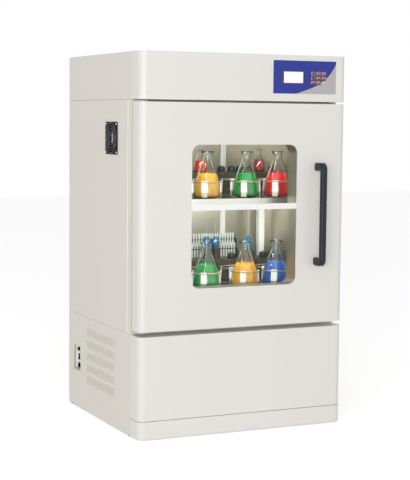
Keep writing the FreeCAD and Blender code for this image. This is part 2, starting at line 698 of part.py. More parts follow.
def fan_guard():
    """Finger guard: wire rings on a cross of wires that ends at the frame corners."""
    x1 = LEFT - FAN_PROUD
    x0 = x1 - GUARD_WIRE
    reach = FAN_BORE_RADIUS
    half = GUARD_WIRE / 2
    centre = Vector(x0, FAN_Y, FAN_CENTRE_HEIGHT)
    wires = []
    for share in GUARD_RING_SHARES:
        outer = many_sided(reach * share + half, GUARD_RING_SIDES, centre, X_AXIS, GUARD_WIRE)
        inner = many_sided(reach * share - half, GUARD_RING_SIDES, centre, X_AXIS, GUARD_WIRE)
        wires.append(outer.cut(inner))
    corner = FAN_SIZE / 2 / math.cos(math.radians(QUARTER_TURN / 2)) - GUARD_TAB
    for turn in (QUARTER_TURN / 2, -QUARTER_TURN / 2):
        spoke = box(x0, x1, FAN_Y - corner, FAN_Y + corner,
                    FAN_CENTRE_HEIGHT - half, FAN_CENTRE_HEIGHT + half)
        spoke.rotate(centre, X_AXIS, turn)
        wires.append(spoke)
    return wires[0].fuse(wires[1:]).removeSplitter()


def fan_impeller():
    """Pitched blades on a hub whose shaft runs in the fan frame."""
    x0 = LEFT - FAN_PROUD + FAN_STRUT_DEPTH / 2
    x1 = LEFT - FAN_PROUD + FAN_THICKNESS - FAN_STRUT_DEPTH - FIT
    centre = Vector(x0, FAN_Y, FAN_CENTRE_HEIGHT)
    hub = many_sided(FAN_HUB_RADIUS, FAN_HUB_SIDES, centre, X_AXIS, x1 - x0)
    shaft = rod(FAN_SHAFT_RADIUS, x1 - x0 + FAN_STRUT_DEPTH, centre, X_AXIS)
    middle = Vector((x0 + x1) / 2, FAN_Y, FAN_CENTRE_HEIGHT)
    tip = FAN_BORE_RADIUS - FAN_TIP_CLEARANCE
    blades = []
    for i in range(FAN_BLADES):
        blade = box(middle.x - FAN_BLADE_CHORD / 2, middle.x + FAN_BLADE_CHORD / 2,
                    FAN_Y - FAN_BLADE_THICKNESS / 2, FAN_Y + FAN_BLADE_THICKNESS / 2,
                    FAN_CENTRE_HEIGHT + FAN_HUB_RADIUS - FAN_BLADE_THICKNESS, FAN_CENTRE_HEIGHT + tip)
        blade.rotate(middle, Z_AXIS, QUARTER_TURN - FAN_PITCH_ANGLE)
        blade.rotate(middle, X_AXIS, FULL_TURN / FAN_BLADES * i)
        blades.append(blade)
    return hub.fuse(blades + [shaft])


def inlet_cup():
    """Recessed inlet box: flange, four walls and a floor that carries the fittings."""
    x0 = LEFT
    floor = LEFT + INLET_RECESS
    y0 = INLET_Y + FIT
    y1 = INLET_Y + INLET_WIDTH - FIT
    z0 = INLET_BOTTOM + FIT
    z1 = INLET_BOTTOM + INLET_HEIGHT - FIT
    outer = box(x0, floor + SHEET, y0, y1, z0, z1)
    ramp = [
        Vector(x0 - SHEET, y0 + SHEET, z0 + SHEET),
        Vector(floor, y0 + SHEET, z0 + SOCKET_BOTTOM - SHEET),
        Vector(floor, y0 + SHEET, z1 - SHEET),
        Vector(x0 - SHEET, y0 + SHEET, z1 - SHEET),
    ]
    inner = prism(ramp, Vector(0, y1 - y0 - SHEET * 2, 0))
    lap = INLET_FLANGE
    rim = box(LEFT + SHEET, LEFT + SHEET * 2, y0 - lap, y1 + lap, z0 - lap, z1 + lap)
    cup = outer.fuse(rim).cut(inner)
    y = INLET_Y + INLET_ROW
    z = INLET_BOTTOM
    reach = FUSE_BODY
    socket = box(floor - SHEET, floor + reach, y - SOCKET_WIDTH / 2 - FIT, y + SOCKET_WIDTH / 2 + FIT,
                 z + SOCKET_BOTTOM - FIT, z + SOCKET_BOTTOM + SOCKET_HEIGHT + FIT)
    rocker = box(floor - SHEET, floor + reach, y - ROCKER_WIDTH / 2 - FIT, y + ROCKER_WIDTH / 2 + FIT,
                 z + ROCKER_CENTRE - ROCKER_HEIGHT / 2 - FIT, z + ROCKER_CENTRE + ROCKER_HEIGHT / 2 + FIT)
    fuse = many_sided(FUSE_RADIUS + FIT, FUSE_SIDES, Vector(floor - SHEET, y, z + FUSE_CENTRE), X_AXIS,
                      OVERRUN)
    frame_half_y = ROCKER_WIDTH / 2 + ROCKER_FRAME
    frame_half_z = ROCKER_HEIGHT / 2 + ROCKER_FRAME
    bezel = box(floor, floor + ROCKER_BODY, y - frame_half_y, y + frame_half_y,
                z + ROCKER_CENTRE - frame_half_z, z + ROCKER_CENTRE + frame_half_z)
    return cup.fuse(bezel).cut([socket, rocker, fuse])


def inlet_socket():
    """Three-pole appliance inlet: an open cup with a flange and its prongs."""
    floor = LEFT + INLET_RECESS
    y = INLET_Y + INLET_ROW
    z = INLET_BOTTOM + SOCKET_BOTTOM
    half = SOCKET_WIDTH / 2
    x0 = floor - SHEET
    outer = box(x0, floor + SOCKET_LENGTH, y - half, y + half, z, z + SOCKET_HEIGHT)
    wall = SOCKET_WALL
    inner = box(x0 - SHEET, floor + SOCKET_LENGTH - wall, y - half + wall, y + half - wall,
                z + wall, z + SOCKET_HEIGHT - wall)
    prongs = []
    middle = z + SOCKET_HEIGHT / 2
    for step in (-1, 0, 1):
        centre = y + SOCKET_WIDTH / 4 * step
        prongs.append(box(floor + SOCKET_LENGTH - wall - PRONG_LENGTH, floor + SOCKET_LENGTH - wall,
                          centre - PRONG_THICKNESS / 2, centre + PRONG_THICKNESS / 2,
                          middle - PRONG_HEIGHT / 2, middle + PRONG_HEIGHT / 2))
    return outer.cut(inner).fuse(prongs)


def fuse_holder():
    """Round fuse carrier that stands proud of the recess floor."""
    base = Vector(LEFT + INLET_RECESS - FUSE_CAP, INLET_Y + INLET_ROW, INLET_BOTTOM + FUSE_CENTRE)
    return many_sided(FUSE_RADIUS, FUSE_SIDES, base, X_AXIS, FUSE_CAP + FUSE_BODY)


def power_rocker():
    """Rocker with a shallow vee face that tilts in its frame."""
    floor = LEFT + INLET_RECESS
    y = INLET_Y + INLET_ROW - ROCKER_WIDTH / 2
    z = INLET_BOTTOM + ROCKER_CENTRE
    half = ROCKER_HEIGHT / 2
    section = [
        Vector(floor - ROCKER_PROUD, y, z - half + ROCKER_DRAFT),
        Vector(floor - ROCKER_PROUD / 2, y, z),
        Vector(floor - ROCKER_PROUD, y, z + half - ROCKER_DRAFT),
        Vector(floor, y, z + half - FIT),
        Vector(floor + ROCKER_BODY, y, z),
        Vector(floor, y, z - half + FIT),
    ]
    return prism(section, Vector(0, ROCKER_WIDTH, 0))


def hinge_brackets():
    """Upper and lower hinge plates on the frame face, each with its pin into the door."""
    brackets = []
    upper_z = DOOR_TOP + FIT
    lower_z = DOOR_BOTTOM - FIT - HINGE_PLATE
    for z, pin_z in ((upper_z, DOOR_TOP - HINGE_PIN_REACH), (lower_z, DOOR_BOTTOM - FIT)):
        half = HINGE_PLATE_WIDTH / 2
        plate = box(HINGE_X - half, HINGE_X + half, HINGE_Y - half, FRAME_FRONT, z, z + HINGE_PLATE)
        pin = rod(HINGE_PIN_RADIUS, HINGE_PIN_REACH + FIT, Vector(HINGE_X, HINGE_Y, pin_z), Z_AXIS)
        brackets.append(plate.fuse(pin))
    return Part.makeCompound(brackets)


def door_skin():
    """Folded outer door panel with the window opening, hinge holes and handle holes."""
    tray = front_tray(FRONT, DOOR_BACK - LINER_SHEET, DOOR_BOTTOM, DOOR_TOP)
    window = rounded_window(WINDOW_X, WINDOW_WIDTH, WINDOW_Z, WINDOW_HEIGHT, WINDOW_RADIUS,
                            FRONT - SHEET, FRONT + SHEET * 2)
    pin_hole = rod(HINGE_PIN_RADIUS + RUNNING_FIT, DOOR_HEIGHT + OVERRUN,
                   Vector(HINGE_X, HINGE_Y, DOOR_BOTTOM - OVERRUN / 2), Z_AXIS)
    screws = [many_sided(HANDLE_SCREW_RADIUS + FIT, HANDLE_SCREW_SIDES, Vector(x, FRONT - OVERRUN / 2, z),
                         Y_AXIS, OVERRUN) for x, z in handle_feet()]
    return tray.cut([window, pin_hole] + screws)


def handle_feet():
    """Middle of the handle's two feet on the door."""
    x = RIGHT - HANDLE_RIGHT_INSET
    z = DOOR_BOTTOM + HANDLE_BOTTOM
    return [(x, z + HANDLE_FOOT / 2), (x, z + HANDLE_LENGTH - HANDLE_FOOT / 2)]


def door_liner():
    """Inner door pan with the deep window surround behind the outer pane."""
    y0 = DOOR_BACK - LINER_SHEET
    pan = box(LEFT, RIGHT, y0, DOOR_BACK, DOOR_BOTTOM, DOOR_TOP)
    front = FRONT + SHEET + FIT + GLASS + FIT
    sleeve = rounded_window(
        WINDOW_X - LINER_SHEET, WINDOW_WIDTH + LINER_SHEET * 2, WINDOW_Z - LINER_SHEET,
        WINDOW_HEIGHT + LINER_SHEET * 2, WINDOW_RADIUS + LINER_SHEET, front, y0)
    hole = rounded_window(WINDOW_X, WINDOW_WIDTH, WINDOW_Z, WINDOW_HEIGHT, WINDOW_RADIUS,
                          FRONT, DOOR_BACK + SHEET)
    return pan.fuse(sleeve).cut(hole)


def door_foam():
    """Foam core of the door round the window surround and the hinge pins."""
    y0 = FRONT + SHEET + FIT + GLASS + FIT
    y1 = DOOR_BACK - LINER_SHEET - FIT
    inset = SHEET + FIT
    shoulder = FRONT + CORNER_RADIUS
    core = box(LEFT + inset, RIGHT - inset, shoulder, y1, DOOR_BOTTOM + inset, DOOR_TOP - inset)
    fore = box(LEFT + CORNER_RADIUS, RIGHT - CORNER_RADIUS, y0, shoulder,
               DOOR_BOTTOM + inset, DOOR_TOP - inset)
    lap = LINER_SHEET + FIT
    window = box(WINDOW_X - lap, WINDOW_X + WINDOW_WIDTH + lap, FRONT, DOOR_BACK,
                 WINDOW_Z - lap, WINDOW_Z + WINDOW_HEIGHT + lap)
    pockets = [
        box(LEFT, HINGE_X + HINGE_PIN_RADIUS * 2, FRONT, HINGE_Y + HINGE_PIN_RADIUS * 2, z0, z1)
        for z0, z1 in ((DOOR_BOTTOM, DOOR_BOTTOM + HINGE_PIN_REACH + FIT),
                       (DOOR_TOP - HINGE_PIN_REACH - FIT, DOOR_TOP))]
    for x, z in handle_feet():
        half = HANDLE_SCREW_RADIUS + FIT
        pockets.append(box(x - half, x + half, FRONT, FRONT + HANDLE_SCREW_LENGTH + FIT, z - half, z + half))
    return core.fuse(fore).cut([window] + pockets)


def window_glass():
    """Outer pane behind the door face and inner pane in the window surround."""
    y0 = FRONT + SHEET + FIT
    outer = box(WINDOW_X - GLASS_LAP, WINDOW_X + WINDOW_WIDTH + GLASS_LAP, y0, y0 + GLASS,
                WINDOW_Z - GLASS_LAP, WINDOW_Z + WINDOW_HEIGHT + GLASS_LAP)
    y1 = DOOR_BACK - GLASS_INSET - GLASS
    inner = rounded_window(WINDOW_X + FIT, WINDOW_WIDTH - FIT * 2, WINDOW_Z + FIT,
                           WINDOW_HEIGHT - FIT * 2, WINDOW_RADIUS - FIT, y1, y1 + GLASS)
    return Part.makeCompound([outer, inner])


def window_crossbar():
    """Flat white bar across the window, in front of the outer pane."""
    z = DOOR_BOTTOM + WINDOW_BOTTOM + CROSSBAR_BOTTOM
    return box(WINDOW_X + FIT, WINDOW_X + WINDOW_WIDTH - FIT, FRONT + CROSSBAR_SETBACK, FRONT + SHEET + FIT,
               z, z + CROSSBAR_HEIGHT)


def door_gasket():
    """Seal round the back of the door that closes on the frame face."""
    inset = HINGE_SIDE_INSET + SEAM
    y0 = DOOR_BACK
    y1 = FRAME_FRONT - FIT
    low = DOOR_BOTTOM + inset
    high = DOOR_TOP - inset
    outer = box(LEFT + inset, RIGHT - inset, y0, y1, low, high)
    width = GASKET_WIDTH
    hole = box(LEFT + inset + width, RIGHT - inset - width, y0 - OVERRUN, y1 + OVERRUN,
               low + width, high - width)
    return outer.cut(hole)


def bow(y0, y1, z0, z1, radius):
    """Upright block between the door face and y0 whose two outer corners are rounded."""
    block = box(-HANDLE_WIDTH / 2, HANDLE_WIDTH / 2, y0, y1, z0, z1)
    corners = [e for e in block.Edges if e.BoundBox.XLength > SEAM and e.BoundBox.YMax < y0 + SEAM]
    return block.makeFillet(radius, corners)


def door_handle():
    """Upright bow handle: a flat-sided bar with deep feet, its long edges chamfered."""
    x = RIGHT - HANDLE_RIGHT_INSET
    y0 = FRONT - HANDLE_REACH
    z0 = DOOR_BOTTOM + HANDLE_BOTTOM
    z1 = z0 + HANDLE_LENGTH
    bar = bow(y0, FRONT, z0, z1, HANDLE_BEND)
    bar = bar.cut(bow(y0 + HANDLE_BAR, FRONT + OVERRUN, z0 + HANDLE_FOOT, z1 - HANDLE_FOOT, HANDLE_CHAMFER))
    rims = [e for e in bar.Edges if e.BoundBox.XLength < SEAM and e.BoundBox.YMin < FRONT - SEAM]
    bar = bar.makeChamfer(HANDLE_CHAMFER, rims)
    bar.translate(Vector(x, 0, 0))
    screws = [many_sided(HANDLE_SCREW_RADIUS, HANDLE_SCREW_SIDES, Vector(sx, FRONT, sz), Y_AXIS,
                         HANDLE_SCREW_LENGTH) for sx, sz in handle_feet()]
    return bar.fuse(screws)


def crank_arm(axis):
    """Flat crank arm from the shaft axis to the pin."""
    return box(axis.x - CRANK_HALF_WIDTH, axis.x + CRANK_HALF_WIDTH, axis.y - CRANK_TAIL,
               axis.y + ORBIT_RADIUS + CRANK_TAIL, CRANK_BOTTOM, CRANK_TOP)


def crank_pin(axis):
    """Eccentric pin that stands on a crank arm."""
    return rod(PIN_RADIUS, CARRIAGE_TOP - FIT - CRANK_TOP, Vector(axis.x, axis.y + ORBIT_RADIUS, CRANK_TOP),
               Z_AXIS)


def main_crank():
    """Driven shaft with its crank arm, counterweight sector and eccentric pin."""
    axis = shaft_places()[0]
    shaft = rod(SHAFT_RADIUS, CRANK_BOTTOM - PULLEY_BOTTOM, Vector(axis.x, axis.y, PULLEY_BOTTOM), Z_AXIS)
    sector = Part.makeCylinder(
        COUNTERWEIGHT_RADIUS, CRANK_THICKNESS, Vector(axis.x, axis.y, CRANK_BOTTOM), Z_AXIS,
        COUNTERWEIGHT_HALF_ANGLE * 2)
    sector.rotate(Vector(axis.x, axis.y, 0), Z_AXIS, -QUARTER_TURN - COUNTERWEIGHT_HALF_ANGLE)
    return shaft.fuse([crank_arm(axis), sector, crank_pin(axis)]).removeSplitter()


def idler_crank(axis):
    """Free crank that keeps the carriage from turning."""
    shaft = rod(SHAFT_RADIUS, CRANK_BOTTOM - HOUSING_BOTTOM, Vector(axis.x, axis.y, HOUSING_BOTTOM), Z_AXIS)
    return shaft.fuse([crank_arm(axis), crank_pin(axis)]).removeSplitter()


def bearing_housings():
    """Three flanged bearing blocks under the deck, each with a neck through the floor."""
    housings = []
    half = HOUSING_FLANGE / 2
    width = HOUSING_WIDTH / 2
    for place in shaft_places():
        neck = box(place.x - width, place.x + width, place.y - width, place.y + width,
                   HOUSING_BOTTOM, CHAMBER_FLOOR + HOUSING_STAND)
        flange = box(place.x - half, place.x + half, place.y - half, place.y + half,
                     DECK_BOTTOM - HOUSING_FLANGE_THICKNESS, DECK_BOTTOM)
        base = Vector(place.x, place.y, HOUSING_BOTTOM)
        bore = rod(SHAFT_RADIUS + RUNNING_FIT, CHAMBER_FLOOR + HOUSING_STAND - HOUSING_BOTTOM, base, Z_AXIS)
        housings.append(neck.fuse(flange).cut(bore))
    return Part.makeCompound(housings)


def toothed_wheel(radius, teeth, base, height):
    """Belt pulley whose rim rises and falls once for each tooth."""
    points = []
    for i in range(teeth * 2):
        angle = math.pi * i / teeth
        reach = radius - TOOTH_DEPTH * (i % 2)
        points.append(base + Vector(reach * math.cos(angle), reach * math.sin(angle), 0))
    return prism(points, Vector(0, 0, height))


def driven_pulley():
    """Large toothed pulley on the foot of the driven shaft."""
    place = shaft_places()[0] + Vector(0, 0, PULLEY_BOTTOM)
    rim = toothed_wheel(PULLEY_RADIUS, PULLEY_TEETH, place, PULLEY_HEIGHT)
    return rim.cut(rod(SHAFT_RADIUS + RUNNING_FIT, PULLEY_HEIGHT, place, Z_AXIS))


def motor_rotor():
    """Motor shaft with its small toothed pulley."""
    place = Vector(0, MOTOR_Y, PULLEY_BOTTOM)
    pulley = toothed_wheel(MOTOR_PULLEY_RADIUS, MOTOR_PULLEY_TEETH, place, PULLEY_HEIGHT)
    shaft = rod(MOTOR_SHAFT_RADIUS, MOTOR_SHAFT_LENGTH, place + Vector(0, 0, PULLEY_HEIGHT), Z_AXIS)
    return pulley.fuse(shaft)


def drive_motor():
    """Square brushless motor hung from the deck by its flange."""
    half = MOTOR_FLANGE / 2
    width = MOTOR_WIDTH / 2
    can = box(-width, width, MOTOR_Y - width, MOTOR_Y + width,
              HOUSING_BOTTOM, DECK_BOTTOM - MOTOR_FLANGE_THICKNESS)
    flange = box(-half, half, MOTOR_Y - half, MOTOR_Y + half,
                 DECK_BOTTOM - MOTOR_FLANGE_THICKNESS, DECK_BOTTOM)
    bore = rod(MOTOR_SHAFT_RADIUS + RUNNING_FIT, MOTOR_SHAFT_LENGTH,
               Vector(0, MOTOR_Y, HOUSING_BOTTOM), Z_AXIS)
    return can.fuse(flange).cut(bore)


def belt_loop(grow, z, height):
    """Belt outline round both pulleys in short tangent spans, grown outwards by a distance."""
    spread = math.acos((PULLEY_RADIUS - MOTOR_PULLEY_RADIUS) / MOTOR_DISTANCE)
    wraps = (
        (DRIVE_Y, PULLEY_RADIUS + grow, spread, 2 * math.pi - spread, BELT_SIDES),
        (MOTOR_Y, MOTOR_PULLEY_RADIUS + grow, -spread, spread, MOTOR_BELT_SIDES),
    )
    points = []
    for y, radius, first, last, sides in wraps:
        step = (last - first) / sides
        reach = radius / math.cos(step / 2)
        for i in range(sides):
            angle = first + step * i + step / 2
            points.append(Vector(reach * math.sin(angle), y + reach * math.cos(angle), z))
    return prism(points, Vector(0, 0, height))


def drive_belt():
    """Flat belt on the rims of both pulleys."""
    z = PULLEY_BOTTOM + (PULLEY_HEIGHT - BELT_HEIGHT) / 2
    return belt_loop(FIT + BELT_THICKNESS, z, BELT_HEIGHT).cut(belt_loop(FIT, z, BELT_HEIGHT))


def carriage_frame():
    """Long beam with two end beams, bored for the three crank pins."""
    half = CARRIAGE_BEAM / 2
    z0 = CARRIAGE_BOTTOM
    z1 = CARRIAGE_TOP
    beam = box(-CARRIAGE_LENGTH / 2, CARRIAGE_LENGTH / 2, CARRIAGE_Y - half, CARRIAGE_Y + half, z0, z1)
    ends = []
    for x in (half - CARRIAGE_LENGTH / 2, CARRIAGE_LENGTH / 2 - half):
        ends.append(box(x - half, x + half, CARRIAGE_Y - CARRIAGE_CROSS / 2,
                        CARRIAGE_Y + CARRIAGE_CROSS / 2, z0, z1))
    bores = [rod(PIN_RADIUS + RUNNING_FIT, CARRIAGE_BEAM_HEIGHT, Vector(place.x, CARRIAGE_Y, z0), Z_AXIS)
             for place in shaft_places()]
    return beam.fuse(ends).cut(bores)


def platform(height):
    """Stainless tray with its lips turned down."""
    half = PLATFORM_WIDTH / 2
    back = PLATFORM_FRONT + PLATFORM_DEPTH
    sheet = PLATFORM_SHEET
    outer = box(-half, half, PLATFORM_FRONT, back, height - PLATFORM_LIP, height)
    inner = box(sheet - half, half - sheet, PLATFORM_FRONT + sheet, back - sheet,
                height - PLATFORM_LIP - OVERRUN, height - sheet)
    return outer.cut(inner)


def platform_posts():
    """Four square tube posts between the two platforms."""
    posts = []
    half = PLATFORM_WIDTH / 2 - PLATFORM_SHEET - POST_INSET
    front = PLATFORM_FRONT + PLATFORM_SHEET + POST_INSET
    back = PLATFORM_FRONT + PLATFORM_DEPTH - PLATFORM_SHEET - POST_INSET
    z0 = LOWER_PLATFORM_HEIGHT
    z1 = UPPER_PLATFORM_HEIGHT - PLATFORM_SHEET
    for x in (-half, half - POST):
        for y in (front, back - POST):
            tube = box(x, x + POST, y, y + POST, z0, z1)
            core = box(x + POST_WALL, x + POST - POST_WALL, y + POST_WALL, y + POST - POST_WALL, z0, z1)
            posts.append(tube.cut(core))
    return Part.makeCompound(posts)


def clamp_strip():
    """One bent strip of a clamp: foot in the middle and a leaning finger at each end."""
    radius = FLASK_RADIUS + CLAMP_PLAY
    sheet = CLAMP_SHEET
    tip = radius - CLAMP_LEAN
    half = CLAMP_STRIP / 2
    places = [
        (-radius - sheet, 0), (radius + sheet, 0), (tip + sheet, CLAMP_TOP), (tip, CLAMP_TOP),
        (radius, sheet), (-radius, sheet), (-tip, CLAMP_TOP), (-tip - sheet, CLAMP_TOP)]
    return prism([Vector(x, -half, z) for x, z in places], Vector(0, CLAMP_STRIP, 0))


def flask_clamp():
    """Two crossed strips that make one four-finger clamp at the origin."""
    one = clamp_strip()
    other = clamp_strip()
    other.rotate(Vector(0, 0, 0), Z_AXIS, QUARTER_TURN)
    return one.fuse(other).removeSplitter()


def on_platforms(shape):
    """Turned copies of a shape made at the origin, one at each clamp's place."""
    turned = shape.copy()
    turned.rotate(Vector(0, 0, 0), Z_AXIS, CLAMP_TURN)
    copies = []
    for height in (LOWER_PLATFORM_HEIGHT, UPPER_PLATFORM_HEIGHT):
        for place in clamp_places(height):
            copies.append(turned.translated(place))
    return Part.makeCompound(copies)


def flask_clamps():
    """All clamps of both platforms."""
    return on_platforms(flask_clamp())


def clamp_springs():
    """Spring loop round the fingers of each clamp, straight from finger to finger."""
    base = SPRING_HEIGHT - SPRING_WIRE / 2
    finger = FLASK_RADIUS + CLAMP_PLAY + CLAMP_SHEET - CLAMP_LEAN * base / CLAMP_TOP + FIT / 2
    return on_platforms(spring_disc(base, finger + SPRING_WIRE).cut(spring_disc(base, finger)))


def spring_disc(base, reach):
    """Eight-sided disc whose short sides lie on the fingers."""
    half = CLAMP_STRIP / 2
    corners = [(reach, -half), (reach, half), (half, reach), (-half, reach),
               (-reach, half), (-reach, -half), (-half, -reach), (half, -reach)]
    return prism([Vector(x, y, base) for x, y in corners], Vector(0, 0, SPRING_WIRE))


def duct_panel():
    """Air guide before the cooler with the fan intake and rows of outlet slots."""
    x1 = CHAMBER_RIGHT - FIT
    z0 = CHAMBER_FLOOR + FIT
    z1 = CHAMBER_CEILING - FIT
    outer = box(-x1, x1, DUCT_FACE, DUCT_FACE + DUCT_FLANGE, z0, z1)
    inner = box(DUCT_SHEET - x1, x1 - DUCT_SHEET, DUCT_FACE + DUCT_SHEET, DUCT_FACE + DUCT_FLANGE * 2,
                z0 + DUCT_SHEET, z1 - DUCT_SHEET)
    cutters = [rod(DUCT_INTAKE_RADIUS, OVERRUN, Vector(0, DUCT_FACE - OVERRUN / 2, BLOWER_Z), Y_AXIS)]
    for low in (DUCT_SLOT_LOW, DUCT_SLOT_HIGH):
        for i in range(DUCT_SLOTS_ACROSS):
            x = DUCT_SLOT_PITCH * (i - (DUCT_SLOTS_ACROSS - 1) / 2)
            z = CHAMBER_FLOOR + low
            cutters.append(box(x - DUCT_SLOT_WIDTH / 2, x + DUCT_SLOT_WIDTH / 2,
                               DUCT_FACE - DUCT_SHEET, DUCT_FACE + DUCT_SHEET * 2,
                               z, z + DUCT_SLOT_HEIGHT))
    return outer.cut(inner).cut(cutters)


def evaporator():
    """Finned cooler on the chamber's back wall."""
    z = CHAMBER_FLOOR + EVAPORATOR_LOW
    y1 = CHAMBER_BACK
    return comb(-EVAPORATOR_WIDTH / 2, EVAPORATOR_WIDTH / 2, y1 - EVAPORATOR_THICKNESS, y1,
                z, z + EVAPORATOR_HEIGHT, EVAPORATOR_SPINE, EVAPORATOR_FINS)


def air_heater():
    """Finned strip heater above the fan."""
    z = CHAMBER_CEILING - HEATER_BELOW_CEILING - HEATER_HEIGHT
    y1 = CHAMBER_BACK
    return comb(-HEATER_LENGTH / 2, HEATER_LENGTH / 2, y1 - HEATER_THICKNESS, y1,
                z, z + HEATER_HEIGHT, HEATER_SPINE, HEATER_FINS)


def circulation_motor():
    """Square fan motor in the back insulation, against the liner's outer face."""
    y0 = CHAMBER_BACK + LINER_SHEET
    half = BLOWER_MOTOR_WIDTH / 2
    can = box(-half, half, y0, y0 + BLOWER_MOTOR_LENGTH, BLOWER_Z - half, BLOWER_Z + half)
    bore = rod(BLOWER_SHAFT_RADIUS + RUNNING_FIT, BLOWER_MOTOR_LENGTH / 2, Vector(0, y0, BLOWER_Z), Y_AXIS)
    return can.cut(bore)


def circulation_impeller():
    """Radial blower wheel: back plate, hub, straight blades and its shaft."""
    y1 = CHAMBER_BACK - BLOWER_GAP
    y0 = y1 - BLOWER_DEPTH
    sides = BLOWER_BLADES * 2
    plate = many_sided(BLOWER_RADIUS, sides, Vector(0, y1 - BLOWER_BACK_PLATE, BLOWER_Z), Y_AXIS,
                       BLOWER_BACK_PLATE)
    hub = many_sided(BLOWER_HUB_RADIUS, sides, Vector(0, y0, BLOWER_Z), Y_AXIS,
                     BLOWER_DEPTH - BLOWER_BACK_PLATE)
    shaft = rod(BLOWER_SHAFT_RADIUS, BLOWER_GAP + LINER_SHEET + BLOWER_MOTOR_LENGTH / 2 - FIT,
                Vector(0, y1, BLOWER_Z), Y_AXIS)
    blades = []
    for i in range(BLOWER_BLADES):
        blade = box(-BLOWER_BLADE_THICKNESS / 2, BLOWER_BLADE_THICKNESS / 2, y0, y1 - BLOWER_BACK_PLATE,
                    BLOWER_Z + BLOWER_HUB_RADIUS - BLOWER_BLADE_THICKNESS,
                    BLOWER_Z + BLOWER_RADIUS - BLOWER_BLADE_THICKNESS * 2)
        blade.rotate(Vector(0, y0, BLOWER_Z), Y_AXIS, FULL_TURN / BLOWER_BLADES * i)
        blades.append(blade)
    return plate.fuse([hub, shaft] + blades)


def compressor():
    """Welded compressor can on its base plate, standing on the chassis shelf."""
    shelf = CHASSIS_BOTTOM + TUBE
    place = Vector(COMPRESSOR_SIDE, FRONT + COMPRESSOR_DEPTH, shelf)
    half = COMPRESSOR_BASE / 2
    crown = COMPRESSOR_CROWN
    can = many_sided(COMPRESSOR_RADIUS, COMPRESSOR_SIDES, place, Z_AXIS, COMPRESSOR_HEIGHT)
    roof = [e for e in can.Edges if e.BoundBox.ZMin > shelf + COMPRESSOR_HEIGHT - crown]
    can = can.makeChamfer(crown, roof)
    base = box(place.x - half, place.x + half, place.y - half, place.y + half,
               shelf, shelf + COMPRESSOR_BASE_THICKNESS)
    return can.fuse(base)


def condenser():
    """Finned condenser behind the rear grille, standing on the chassis shelf."""
    z = CHASSIS_BOTTOM + TUBE
    y1 = CHASSIS_BACK - TUBE - CONDENSER_BACK_GAP
    return comb(CONDENSER_LEFT, CONDENSER_LEFT + CONDENSER_WIDTH, y1 - CONDENSER_THICKNESS, y1,
                z, z + CONDENSER_HEIGHT, CONDENSER_SPINE, CONDENSER_FINS)


def save(name, shape):
    """Write one node."""
    shape.exportStep(os.path.join("parts", name + ".step"))


def main():
    os.makedirs("parts", exist_ok=True)
    idlers = shaft_places()[1:]
    pieces = {
        "chassis_frame": chassis_frame(),
        "levelling_feet": levelling_feet(),
        "plinth_cover": plinth_cover(),
        "lower_front_cover": lower_front_cover(),
        "lower_side_panels": lower_side_panels(),
        "side_panels": side_panels(),
        "rear_panel": rear_panel(),
        "front_frame": front_frame(),
        "chamber_liner": chamber_liner(),
        "foam_insulation": foam_insulation(),
        "head_cover": head_cover(),
        "head_front_cover": head_front_cover(),
        "control_panel": control_panel(),
        "display_window": display_window(),
        "circuit_board": circuit_board(),
        "side_fan_frame": fan_frame(),
        "side_fan_guard": fan_guard(),
        "side_fan_impeller": fan_impeller(),
        "inlet_cup": inlet_cup(),
        "inlet_socket": inlet_socket(),
        "fuse_holder": fuse_holder(),
        "power_rocker": power_rocker(),
        "hinge_brackets": hinge_brackets(),
        "door_skin": door_skin(),
        "door_liner": door_liner(),
        "door_foam": door_foam(),
        "window_glass": window_glass(),
        "window_crossbar": window_crossbar(),
        "door_gasket": door_gasket(),
        "door_handle": door_handle(),
        "main_crank": main_crank(),
        "driven_pulley": driven_pulley(),
        "idler_crank_left": idler_crank(idlers[0]),
        "idler_crank_right": idler_crank(idlers[1]),
        "bearing_housings": bearing_housings(),
        "drive_motor": drive_motor(),
        "motor_rotor": motor_rotor(),
        "drive_belt": drive_belt(),
        "carriage_frame": carriage_frame(),
        "lower_platform": platform(LOWER_PLATFORM_HEIGHT),
        "upper_platform": platform(UPPER_PLATFORM_HEIGHT),
        "platform_posts": platform_posts(),
        "flask_clamps": flask_clamps(),
        "clamp_springs": clamp_springs(),
        "duct_panel": duct_panel(),
        "evaporator": evaporator(),
        "air_heater": air_heater(),
        "circulation_motor": circulation_motor(),
        "circulation_impeller": circulation_impeller(),
        "compressor": compressor(),
        "condenser": condenser(),
    }
    for number, (x, z) in enumerate(key_places(), start=1):
        pieces["key_" + str(number)] = panel_key(x, z)
    for name, shape in pieces.items():
        save(name, shape)


main()
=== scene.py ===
import math

import bmesh
import bpy
from mathutils import Matrix, Vector


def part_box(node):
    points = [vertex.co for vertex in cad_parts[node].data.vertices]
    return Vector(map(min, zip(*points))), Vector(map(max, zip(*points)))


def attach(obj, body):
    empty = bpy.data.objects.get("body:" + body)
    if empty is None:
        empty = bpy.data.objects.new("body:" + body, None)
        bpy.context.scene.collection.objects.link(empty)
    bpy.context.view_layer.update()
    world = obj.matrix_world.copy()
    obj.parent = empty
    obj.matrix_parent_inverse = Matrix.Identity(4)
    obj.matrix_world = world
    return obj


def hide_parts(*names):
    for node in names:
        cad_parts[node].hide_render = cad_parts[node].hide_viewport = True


bl_info = {
    "name": "Upright Incubator Shaker",
    "version": (1, 0, 0),
    "blender": (4, 5, 0),
    "location": "View3D > Sidebar > Shaker",
    "description": "Dresses the packed frame of a two-tier incubator shaker with its visible finishes",
    "category": "Object",
}

